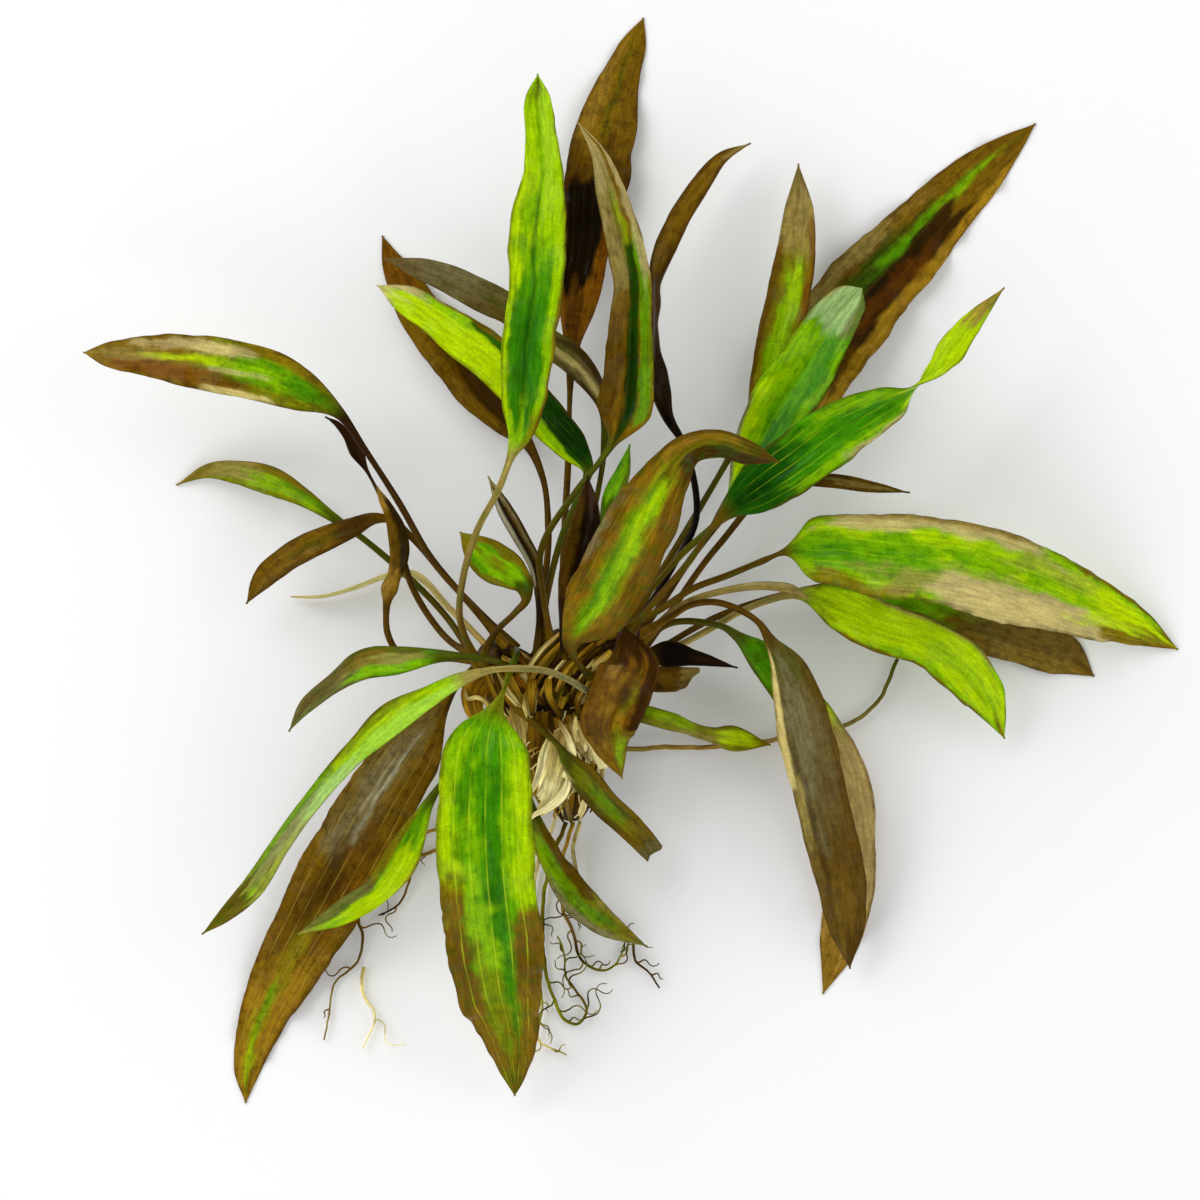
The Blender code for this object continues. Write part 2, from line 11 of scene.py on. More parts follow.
import bpy
import numpy as np
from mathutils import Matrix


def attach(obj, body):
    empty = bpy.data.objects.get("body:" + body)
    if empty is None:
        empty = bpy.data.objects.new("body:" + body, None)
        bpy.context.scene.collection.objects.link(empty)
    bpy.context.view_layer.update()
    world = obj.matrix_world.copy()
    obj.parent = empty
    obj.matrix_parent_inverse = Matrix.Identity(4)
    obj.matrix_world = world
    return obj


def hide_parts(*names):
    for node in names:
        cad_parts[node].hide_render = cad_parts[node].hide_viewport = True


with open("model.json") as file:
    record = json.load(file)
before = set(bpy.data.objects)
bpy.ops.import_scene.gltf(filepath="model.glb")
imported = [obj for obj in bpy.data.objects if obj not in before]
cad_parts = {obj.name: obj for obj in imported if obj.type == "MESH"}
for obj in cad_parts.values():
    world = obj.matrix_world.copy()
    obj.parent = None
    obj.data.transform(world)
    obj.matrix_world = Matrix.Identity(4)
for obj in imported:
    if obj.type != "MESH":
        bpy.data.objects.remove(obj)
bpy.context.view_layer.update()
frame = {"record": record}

MM = 0.001
SPREAD_CENTRE = np.array([8.3, 10.1, 0.0])

# Sizes are in millimetres unless a comment says otherwise.

# A petiole is thicker where it leaves the crown, and so are the stubs of old ones. Its foot is wider than
# it is thick, and runs on into the crown.
PETIOLE_DIAMETER = 1.7
FOOT_DIAMETER = 2.2
FOOT_WIDTH = 2.7
FOOT_LENGTH = 10.0
FOOT_DEPTH = 2.0

# A blade is thin at its edge and thick at its rib, which has a groove above it. The side veins lie in
# shallower grooves. No blade or strip gets narrower than TIP_WIDTH.
TIP_WIDTH = 0.5
EDGE_THICKNESS = 0.34
RIB_THICKNESS = 1.1
RIB_WIDTH = 0.9
RIB_GROOVE = 0.32
VEIN_WIDTH = 0.35
VEIN_GROOVE = 0.05
# The rows past the blade's first over which the solid thins from the petiole to the blade.
THICK_BASE_ROWS = 1.5

# A leaf's mesh: its step along and across, and the fewest and most points across.
LEAF_STEP = 0.55
LEAF_COLUMNS = (8, 44)

# A margin ripples up and down in two waves, fully where the half width is FULL_RIPPLE_WIDTH. It also
# wobbles in and out, by a share of the half width. The skin puckers in patches longer than they are wide.
RIPPLE_LENGTHS = (15.0, 8.3)
FULL_RIPPLE_WIDTH = 5
WOBBLE_LENGTH = 7.0
WOBBLE_SHARE = 0.16
PUCKER_LENGTH = 8.0
PUCKER_WIDTH = 4.0
PUCKER_HEIGHT = 0.5

# How far the torn ends of some blades are ragged.
TORN_ENDS = {"leaf_torn": 6.0, "leaf_lower_middle": 2.0}

# The lines of the parallel veins, as shares of the half width, and how strongly they show: on most
# leaves, and on those where they stand out.
SIDE_VEINS = (0.34, 0.66)
FAINT_VEINS = 0.08
STRONG_VEINS = {
    "leaf_front_long": 0.45,
    "leaf_right_front": 0.35,
    "leaf_right_round": 0.2,
    "leaf_far_right": 0.25,
    "leaf_long_brown": 0.55,
    "leaf_right_lower": 0.15,
    "leaf_centre": 0.15,
}

# How a leaf's patches of colour end: noise swings their ends along the blade and their sides across it,
# over these lengths of blade. The swing and the softness are shares of the blade's length at the ends,
# and shares of its half width at the sides. The margins dry out in places DRY_LENGTH long, outside the
# share DRY_EDGE.
END_SWING_LENGTH = 9.0
SIDE_SWING_LENGTH = 5.5
END_SWING = 0.26
END_SOFTNESS = 0.10
SIDE_SWING = 0.55
SIDE_SOFTNESS = 0.22
DRY_LENGTH = 6.0
DRY_EDGE = 0.86
# A petiole's colour weathers in patches of this length, and turns to the blade's over BLEND_LENGTH.
WEATHER_LENGTH = 14.0
BLEND_LENGTH = 7.0

# What shows on the surfaces: a leaf's blotches, the grain of its cells, its streaks and the patches where
# its veins fade, the spacing of sheath fibres, their stains, and the scales of the bark. Real cells are
# finer than GRAIN, which is as coarse as it needs to be to show.
BLOTCH = 2.6
GRAIN = 0.55
STREAK = 0.8
BLUSH = 9.0
FIBRE = 0.4
STAIN = 3.0
SCALE = 3.2
# How many times longer than wide a leaf's streaks and a sheath's fibres are.
STREAK_STRETCH = 9.0
FIBRE_STRETCH = 16.0

# A strip of sheath: its mesh's step along it, the gap across it and the fewest and most points across,
# its thickness, and the ridges and streaks of its fibres.
SHEATH_STEP = 0.5
SHEATH_GAP = 0.35
SHEATH_COLUMNS = (9, 31)
SHEATH_THICKNESS = 0.44
RIDGE_WIDTH = 0.55
RIDGE_LENGTH = 14.0
RIDGE_HEIGHT = 0.45
FIBRE_STREAK_WIDTH = 0.7
FIBRE_STREAK_LENGTH = 10.0

ROOT_DIAMETER = 1.1
RUNNER_DIAMETER = 1.3
THINNEST_TUBE = 0.12
# The size of the voxels that join the rhizome to its shoots.
CROWN_STEP = 0.6

# How strongly the film of water on a leaf bends light.
WATER_IOR = 1.33

# The factors that turn a number into values that look like chance.
CHANCE_FACTORS = (12.99, 78.23, 37.72, 5.31, 9.17)
CHANCE_SCALE = 43758.5453

# The colours of wet leaf and stem, sRGB.
PALETTE = {
    "lime": "#BEDC00",
    "bright": "#8EC000",
    "leaf": "#5CA000",
    "deep": "#2A7C00",
    "forest": "#0A4400",
    "night": "#032000",
    "pale": "#A4D43A",
    "mint": "#A4C27C",
    "olive": "#7E8204",
    "moss": "#4A5004",
    "brown": "#80600A",
    "umber": "#5A3F04",
    "dark": "#2C1702",
    "black": "#0A0500",
    "rust": "#764103",
    "taupe": "#6A5E34",
    "stone": "#867E58",
    "silver": "#BDB99A",
    "khaki": "#9C8A46",
    "tan": "#C2B072",
    "ochre": "#AE8838",
    "gold": "#AE861C",
    "amber": "#8A620A",
    "straw": "#DECA7C",
    "cream": "#FFF3B4",
}

# Each leaf: its fold in degrees, its petiole's rows (x, y, z) from the crown outwards, and its blade's
# rows (x, y, z, width) or (x, y, z, width, roll). A roll in degrees turns the blade about its own length.
LEAVES = {
    # The top fan.
    "leaf_tall_green": (14,
        [(-31, -15, 32.9), (-35, -4, 38), (-34, 6, 41), (-30.5, 17.5, 43), (-25, 28, 45)],
        [(-22, 36, 46, 2.4), (-20, 41, 47, 6), (-19, 49.5, 49, 11), (-18, 63, 51, 13), (-16, 76, 53, 13.5),
         (-15.5, 87, 54, 14.3), (-15, 96.5, 54, 13), (-14, 104, 53, 10.3), (-14.5, 115, 50, 8),
         (-15.5, 125, 46, 6), (-15.5, 131, 43, 0)]),
    "leaf_top_folded": (32,
        [(-11.8, -12.2, 29.5), (-14, 0, 31), (-15, 11, 32), (-6, 27, 33), (1, 36, 34)],
        [(3, 39, 35, 2.4), (6, 47.5, 36, 14), (7, 55.5, 37, 12.8), (7.6, 70, 38, 10.5), (8, 79, 38, 9.5),
         (6.4, 88, 37, 9.3), (4.8, 94, 36, 8.5), (2.6, 102, 34, 7.3), (-0.6, 112, 31, 3.6),
         (-5.5, 119.5, 28, 0)]),
    "leaf_top_twisted": (0,
        [(9.4, -6.2, 26.2), (18, 8, 25), (24, 20, 24), (23, 32.5, 23), (21, 39, 22)],
        [(17, 46, 21, 3, 0), (15, 54, 20, 6, 30), (14, 62.5, 19, 6, 65), (14, 72.5, 18, 6, 70),
         (14, 79, 18, 6, 60), (16, 87.5, 18, 6, 25), (20, 96, 17, 5.5, 0), (25, 104, 15, 5, 0),
         (30.5, 111, 13, 3.2, 0), (38, 115, 10, 0, 0)]),
    "leaf_top_back": (0,
        [(-9, -16, 13.2), (-9.5, -3, 13), (-9, 16, 12), (-8, 35, 11), (-7.5, 54, 10)],
        [(-7, 64, 10, 4), (-5.5, 75, 9, 10), (-3, 90, 7, 11.5), (-1, 105, 5, 16), (2, 120, 3, 14.5),
         (6, 134, 0.9, 9), (9, 141.5, 0.3, 5.5), (11, 147, 0.3, 0)]),
    "leaf_top_taupe": (8,
        [(-6.8, -8.2, 21.2), (-3, 15, 19), (1, 38, 18)],
        [(1, 48, 17, 3), (-5, 58.5, 17, 7), (-15, 66, 17, 7.3), (-23, 73, 16, 7.5), (-31, 77, 15, 8),
         (-39, 81, 14, 7), (-46, 83.5, 12, 5), (-54.5, 86, 10, 0)]),
    "leaf_top_bright": (10,
        [(-14.9, -9.1, 25), (-13, 2.5, 25), (-9.5, 16, 25), (-5, 27, 25)],
        [(-3, 32, 25, 2.6), (-7, 38.5, 26, 8), (-13, 45, 27, 10), (-20, 53, 28, 11), (-26, 59.5, 28, 11.5),
         (-34, 65.5, 27, 11), (-41, 70.5, 25, 9), (-49, 75.5, 23, 7), (-56, 79, 20, 0)]),
    "leaf_back_left": (0,
        [(-13.5, -16.3, 13.2), (-14.5, -4, 12), (-13, 17.5, 10), (-14.5, 31, 8)],
        [(-18, 39, 7, 3), (-24, 45.5, 6, 8), (-30, 52, 5, 11), (-37.5, 62, 4, 12), (-44, 70.5, 2.6, 11.5),
         (-49, 79, 1.4, 9), (-52.5, 85.5, 0.3, 5.5), (-55, 92, 0.3, 0)]),
    "leaf_inner_small": (18,
        [(0, -7, 28.8), (-1, 8, 29)],
        [(1, 19, 29, 2.4), (3, 26, 28.5, 4.6), (5.5, 31.5, 28, 4), (7.5, 39, 27, 0)]),
    "leaf_striped_folded": (20,
        [(-15.6, -12.8, 27)],
        [(-15, 0, 28, 2.4), (-16, 8, 28, 3.6), (-20, 16, 28, 4), (-24.5, 24, 28, 3.6), (-28, 31, 27, 0)]),
    # The middle.
    "leaf_centre": (8,
        [(-2.5, -19, 29.5), (-4, -17.5, 36), (-6.5, -14, 44)],
        [(-7, -10, 52, 5), (-2, -3, 60, 16), (3, 5, 66, 18), (7.5, 14, 70, 18), (12, 22.5, 73, 17),
         (16.5, 30.5, 75, 12), (22, 37, 76, 8), (29, 38.5, 75, 7), (36, 36.5, 72, 6), (44.5, 34, 66, 0)]),
    "leaf_behind_centre": (10,
        [(-9, -14.3, 29.3), (-9.2, -11.5, 35)],
        [(-9, -6, 41, 2.4), (-7, 4, 44, 7), (-4.5, 14, 45, 8.5), (-3, 22.5, 44, 6), (-3, 31, 42, 0)]),
    "leaf_inner_left": (10,
        [(-28.8, -14.7, 34.3), (-28.2, -11.8, 36.7), (-26, -8, 37.5), (-21, -3, 38)],
        [(-18.5, 0, 38, 2.4), (-18.8, 3, 38, 4.5), (-22, 6.5, 38, 8.5), (-26, 9, 37.5, 10),
         (-30.5, 12.5, 36.5, 8), (-35, 17, 35, 0)]),
    # The right side.
    "leaf_right_upright": (8,
        [(7.5, -7, 22.2), (13, 3, 21.5), (22, 18, 20), (32, 35, 18)],
        [(38, 46, 17.5, 3), (41, 54, 17, 7), (44, 64, 17, 10), (47, 75, 16, 11), (49, 86, 14, 10),
         (50, 97.5, 11, 7.5), (50, 110, 7, 0)]),
    "leaf_right_back": (0,
        [(6.7, -13.1, 17.3), (14, -3, 15), (24, 12, 12), (34, 24, 10)],
        [(40, 32.5, 9, 6), (47.2, 48, 8, 18.5), (55.2, 61, 7, 21.5), (65, 75, 5, 22), (76, 87, 3, 19.5),
         (88, 100, 0.3, 15.5), (99.5, 111, 0.3, 10), (110, 120.3, 0.3, 0)]),
    "leaf_right_round": (22,
        [(7.4, -4.2, 30.5), (20, 11, 29)],
        [(32, 22.5, 28, 2.8), (39, 37.5, 28, 12), (44.5, 47.5, 28, 15.5), (51, 57.5, 28, 15),
         (56.5, 66.5, 27.2, 13.4), (61, 73, 26.4, 10.6), (64, 76.4, 26, 6.6), (65.6, 78, 25.8, 0)]),
    "leaf_right_front": (8,
        [(7, -10.8, 34.9), (9.5, -5.5, 38), (14, 0, 38.5), (22.5, 10, 38.5), (28, 18, 39)],
        [(31, 21.5, 39.5, 4), (39, 27.5, 41, 12.5), (49, 34.5, 42.5, 15), (60, 42.5, 43, 14.5),
         (70, 48, 42.5, 11.5, 25), (76, 51.5, 42, 9.5, 60), (81, 55, 41, 8.5, 105), (86, 61, 39, 8, 145),
         (92, 68.5, 36, 6, 165), (101, 78, 31, 0, 175)]),
    "leaf_right_sliver": (6,
        [(8.6, -16, 17.8), (15, -7, 15), (30, 14, 14)],
        [(46, 29.5, 13.5, 2.2), (57.5, 30, 13, 3.6), (68, 28.5, 12, 3), (78, 27, 10, 0)]),
    "leaf_far_right": (8,
        [(3.5, -8, 35.5), (14, -3, 34), (23.5, 3, 33), (31.5, 6, 32.5), (40, 9.5, 32)],
        [(47, 12.2, 32, 3), (52, 12.5, 33, 13.5), (60, 12.5, 35, 18), (70, 11, 36, 21), (81, 10, 35, 21),
         (93, 8, 32, 22), (103, 5, 27, 22), (114, 1.5, 20.5, 19), (124.5, -2.5, 13, 15),
         (136.5, -7.5, 4.5, 8.5), (146, -12.5, 0.3, 0)]),
    "leaf_right_lower": (8,
        [(9.8, -15, 22), (20.5, -11, 21.5), (28, -7, 21), (35, -3, 20), (41, -0.5, 20)],
        [(50, 1.5, 20, 3), (61, -2, 21, 12), (71, -7, 21, 13), (81, -10, 20, 12), (90, -16, 17, 13.5),
         (97.5, -25, 12, 9.5), (102, -35, 6, 0)]),
    "leaf_right_low": (0,
        [(4, -18, 13.6), (12, -14, 10), (30, -4, 9)],
        [(52, 2, 8, 3), (65, 1, 7, 9), (80, -3, 6, 12.5), (96, -7, 4, 12.5), (109, -11.3, 2, 11.6),
         (117.3, -14, 0.7, 10.5), (124.8, -19.3, 0.3, 0)]),
    "leaf_right_strip": (0,
        [(11.5, -9.5, 27.5), (20, -1.5, 27.5)],
        [(32, 2.5, 26.5, 1.8), (42.5, 3.5, 26, 2.2), (49, 2.3, 26, 2), (52, 0.5, 26, 0)]),
    "leaf_hanging_right": (10,
        [(11, -8, 31), (18, -4, 30.5), (22, -1.5, 30), (28, -0.5, 29.5), (35, -2.5, 29), (40, -6, 28.5)],
        [(42.5, -10, 28, 3), (47, -17, 27, 9), (49.5, -25, 26, 12), (52, -36, 24, 14),
         (55, -47.5, 21, 13.3), (58, -60, 17, 13), (61, -72.5, 13, 12), (62, -82.5, 9.5, 9),
         (63, -93, 6, 0)]),
    "leaf_hanging_back": (0,
        [(10.2, -10.3, 24), (19, -5.5, 24.5), (25, -5.5, 24.5), (31, -6.8, 23.5)],
        [(35, -9.5, 22, 3), (39.8, -13.5, 20, 7.5), (47.5, -22.5, 17, 10), (55, -34, 14, 13.5),
         (60, -47.5, 10, 16), (62.5, -62.5, 6.5, 14), (62.3, -76, 3, 12.5), (60, -88, 0.3, 9),
         (56.3, -99.5, 0.3, 0)]),
    # Below the crown.
    "leaf_dark_spear": (0,
        [(11, -14.8, 26.5)],
        [(13, -14, 26.8, 3.6), (16, -13.5, 27, 6.5), (24, -14.5, 26.5, 4), (34.5, -17, 25, 0)]),
    "leaf_torn": (6,
        [(6.8, -22.4, 17.8)],
        [(9, -20.6, 16.8, 3), (13, -20, 16, 6), (18.5, -19.9, 15.5, 6.4), (24.2, -19.6, 15, 5)]),
    "leaf_short_hanging": (10,
        [(5.7, -4.2, 33.6), (5, -5, 39)],
        [(5.6, -8, 42.2, 3), (7.2, -12, 43.2, 8.5), (8, -16, 42.8, 13.5), (6.2, -20.5, 41, 15.2),
         (4.2, -25, 38.6, 15), (2.1, -31.5, 34.4, 14), (2.5, -35.5, 31.3, 9.8), (3.6, -39.3, 28.2, 6),
         (5.6, -44.8, 24, 0)]),
    "leaf_twisted_low": (0,
        [(0, -28, 15)],
        [(10, -28.5, 14, 4.5, 0), (17.5, -30.5, 13, 5, 20), (25, -33, 12, 5, 50), (34, -35, 11, 6.5, 10),
         (43, -36.5, 9, 0, 0)]),
    "leaf_lower_middle": (8,
        [(-19.5, -28, 25.5), (-14, -33, 26), (-10, -37, 25.5)],
        [(-8.5, -39.5, 25, 3.5), (-4, -44.5, 24, 7), (1, -51, 21, 7), (7.5, -57, 17, 6.5),
         (14, -64, 12, 5.5)]),
    "leaf_lower_twisted": (10,
        [(-17.7, -40, 14), (-18, -49, 14)],
        [(-16, -56, 14, 4, 30), (-12, -65, 13, 7, 25), (-7, -73, 12, 8.5, 15), (-0.5, -80, 9, 7.5, 0),
         (12, -87.5, 4, 0, 0)]),
    "leaf_front_long": (7,
        [(-21.4, -13, 30.8), (-21, -14, 38), (-22.5, -18, 43), (-24.5, -24, 46.5)],
        [(-26.2, -28, 48, 5.5), (-27.3, -32, 49, 14), (-28, -36, 50, 19.5), (-28.2, -43, 51, 22.5),
         (-28.5, -53, 51, 24), (-28, -69, 48, 24), (-27, -80, 43, 24.5), (-26, -89.5, 37, 24),
         (-25, -98, 30, 20.5), (-23, -107, 22, 15.5), (-22, -115, 15, 10), (-21.5, -121, 10, 4.5),
         (-21.5, -125, 7, 0)]),
    "leaf_long_brown": (0,
        [(-31.8, -17.8, 25), (-36, -21.5, 22)],
        [(-39.5, -27, 20, 3.5), (-46, -36.5, 17, 14), (-55, -50, 14, 19), (-63.5, -65, 11, 20),
         (-71.5, -79.5, 8, 19), (-79.5, -94, 4, 16), (-86.3, -108.5, 0.9, 11), (-89, -118.5, 0.3, 7),
         (-89.5, -127, 0.3, 0)]),
    "leaf_arching_pale": (15,
        [(4.5, -23, 26), (0.5, -24.5, 31), (-3.5, -22.5, 37), (-8.5, -19.5, 43), (-14, -17.5, 48.5),
         (-20, -17, 51.5), (-27.5, -17.5, 53)],
        [(-34, -19.5, 53, 3.5), (-42.5, -24, 52, 5.5), (-51, -29, 49, 8), (-61, -38, 45, 6),
         (-70, -48, 40, 4.8), (-79, -60, 34, 5), (-87.5, -72.5, 27, 5.5), (-94, -79, 22, 3.6),
         (-100, -84, 17, 0)]),
    "leaf_lower_bright": (8,
        [(-23, -30.8, 19.2), (-30, -37, 21), (-36, -42.5, 21.5), (-40, -46.5, 21.5)],
        [(-43, -51, 21.5, 2.8), (-47, -59, 21, 7), (-50.5, -66, 20.5, 9), (-56, -73, 19.5, 7),
         (-64, -78, 18, 6.5), (-76, -84, 16, 0)]),
    # The left side.
    "leaf_far_left": (12,
        [(-24.7, -10.3, 31.1), (-32.5, -1, 32), (-42.5, 11, 33), (-50, 24, 34), (-59, 38, 35)],
        [(-65, 46.5, 35, 3), (-75, 52.5, 36, 11), (-84, 56, 36, 13.5), (-92.5, 58, 35, 14),
         (-104, 60, 33, 13), (-115, 61, 30, 9.5), (-124, 61.5, 27, 5.5), (-129.5, 62, 24, 0)]),
    "leaf_small_dark": (5,
        [(-31, -14, 25), (-38, -10, 20), (-43, -4, 18), (-47, 3, 17.5), (-50, 12, 17.5), (-53, 21, 17.5)],
        [(-55.8, 27.3, 17.7, 1), (-58.6, 32.6, 18, 1.1), (-61.2, 37.4, 18, 3.6), (-63.6, 41.4, 18, 2.2),
         (-66, 44.2, 18, 1.6), (-69, 46, 18, 0)]),
    "leaf_hanging_left": (8,
        [(-31.7, -15, 28.4), (-36.5, -14.6, 26.5), (-44, -14.8, 24), (-50.5, -13.2, 22.5),
         (-53.2, -8.5, 22), (-53.6, -3, 21.8)],
        [(-53.4, -0.5, 22, 2.2), (-52.8, 2.6, 22.6, 4.2), (-51.6, 6, 23.6, 3.6), (-50.4, 9.8, 24.8, 4.5),
         (-50.3, 14, 25.6, 5), (-51, 18, 26, 4.6), (-52.6, 22, 26, 3.2), (-54.6, 25.6, 25.6, 2),
         (-55.8, 28.4, 25.2, 0)]),
    "leaf_left_olive": (8,
        [(-30.5, -17.2, 20.1), (-38, -5, 14), (-53, 10, 12), (-61, 16.5, 12)],
        [(-67.5, 21, 12, 2.6), (-75, 26, 11, 4.8), (-83, 30, 9, 7.5), (-91, 32, 6, 6),
         (-99, 32.5, 2.5, 3.6), (-107, 29, 0.3, 0)]),
    "leaf_left_brown": (8,
        [(-22.2, -10.9, 22.2), (-38, 5, 22), (-47, 15.5, 22), (-52, 20, 22.5)],
        [(-56, 20.5, 23, 2.8), (-62.5, 18, 23, 5.2), (-70, 15, 22, 6.4), (-77.5, 11, 20, 6.6),
         (-84.5, 5.5, 16, 5.5), (-89, -1, 11, 0)]),
    "leaf_left_thin": (0,
        [(-23.5, -16.8, 13.8), (-38, -2, 8)],
        [(-47.5, 6.5, 6, 2.4, 40), (-54, 6, 5, 3.5, 70), (-62.5, 3, 4, 3.5, 75), (-70, 1, 3, 3, 75),
         (-78, 1, 1.5, 0, 60)]),
    "leaf_middle_left": (8,
        [(-20.3, -17.3, 31), (-22.5, -16.5, 37), (-27, -15, 41), (-34, -14, 42)],
        [(-41, -14, 41, 3.6), (-50, -15, 39, 7), (-59, -16, 36, 7.5), (-66, -20.5, 32, 5),
         (-74, -27, 27, 3.5), (-78, -33, 23, 0)]),
}

# The crown's lengths of stem, grown together: rows (x, y, z, diameter) from the lower end up.
CROWN = {
    "rhizome": [
        (-7, -55, 6.5, 5), (-7, -50, 8.5, 11.5), (-7.5, -43, 10.5, 16), (-9, -35, 12.5, 18),
        (-11, -27, 15, 17), (-12, -21, 17, 12)],
    "left_shoot": [
        (-14, -27, 14, 11), (-18.5, -23.5, 18, 15), (-22.5, -19.5, 22, 14.5), (-25.5, -16, 26.5, 11.5),
        (-27.5, -13.5, 30, 7), (-28, -12.8, 32, 4)],
    "middle_shoot": [
        (-11.5, -25, 15, 11), (-11.5, -19, 20, 13), (-10.5, -13.5, 23, 11), (-10, -9.5, 25.5, 7),
        (-10, -8, 26.5, 4)],
    "right_shoot": [
        (-7, -25, 14, 11), (-3, -20.5, 18.5, 15), (1.5, -16, 22.5, 14.5), (5, -11.5, 27, 11.5),
        (7, -8.5, 31, 7), (7.5, -7.5, 33.5, 4)],
}

# Stubs of old petioles, the runner and the main roots: rows (x, y, z) from the crown outwards.
STUBS = {
    "stub_left": [
        (-17, -20, 28.2), (-17.2, -24.5, 28.8), (-16.8, -29, 29)],
    "stub_middle": [
        (-13.2, -18.5, 27.9), (-12.5, -24.5, 27.6), (-9.5, -29.5, 26)],
    "stub_right": [
        (-6, -15.5, 28.6), (-5.7, -22, 27), (-5.5, -30, 24)],
}
RUNNER = [
    (-1.2, -37, 6.2), (12, -37.3, 3.5), (27, -37, 2.2), (42.5, -35.5, 1.6), (55, -33, 1.6),
    (61.5, -31.8, 1.6), (67, -28.5, 1.8), (71, -24.5, 2), (73, -20, 2), (75, -14.8, 2)]
ROOTS = {
    "root_centre_long": [
        (-8.6, -56.1, 5.8), (-12.5, -66, 2.5), (-14, -76, 1.5), (-14, -90, 1.2), (-12, -99, 1.2),
        (-8.5, -106, 1.2), (-6, -107, 1.2), (-3.2, -103.5, 1.3), (-6, -99, 1.3), (-8.5, -95, 1.3),
        (-9, -90, 1.3), (-11, -85, 1.3)],
    "root_centre_short": [
        (-6.8, -56.1, 6.6), (-9.7, -67, 2.2), (-9.5, -77, 1.4), (-6.5, -85, 1.2), (-4.5, -91, 1.2),
        (1, -93.3, 1.2), (5, -91, 1.2), (6, -87, 1.2)],
    "root_centre_far": [
        (-5, -55.9, 6.8), (-6.5, -63, 3.5), (-4.5, -72, 1.6), (0, -79, 1.3), (7.5, -84.5, 1.2),
        (9, -91.5, 1.2), (12.5, -94, 1.2), (15, -98, 1.2)],
    "root_cream": [
        (-10.7, -53.7, 5.2), (-16.5, -70, 1.5), (-17, -88, 1.2), (-14.5, -103, 1.2), (-15.5, -111, 1.2),
        (-8.5, -115, 1.2)],
    "root_left_long": [
        (-12, -50.7, 5.2), (-25, -58, 2.2), (-38, -62, 1.4), (-49, -66, 1.2), (-57, -74, 1.2),
        (-61, -80, 1.2), (-60, -86, 1.2), (-61, -91, 1.2), (-67, -97, 1.2), (-68.5, -105, 1.2),
        (-70, -111, 1.2)],
    "root_left_fork": [
        (-59.6, -92.6, 1.2), (-60, -98.5, 1.2), (-57, -105, 1.2), (-60, -113, 1.2)],
    "root_left_curl": [
        (-13.6, -47.8, 6.2), (-28, -53, 2.2), (-40, -57, 1.4), (-46, -60, 2.8), (-47.5, -68, 3.2),
        (-51, -77, 1.6), (-56, -79.5, 1.2)],
}

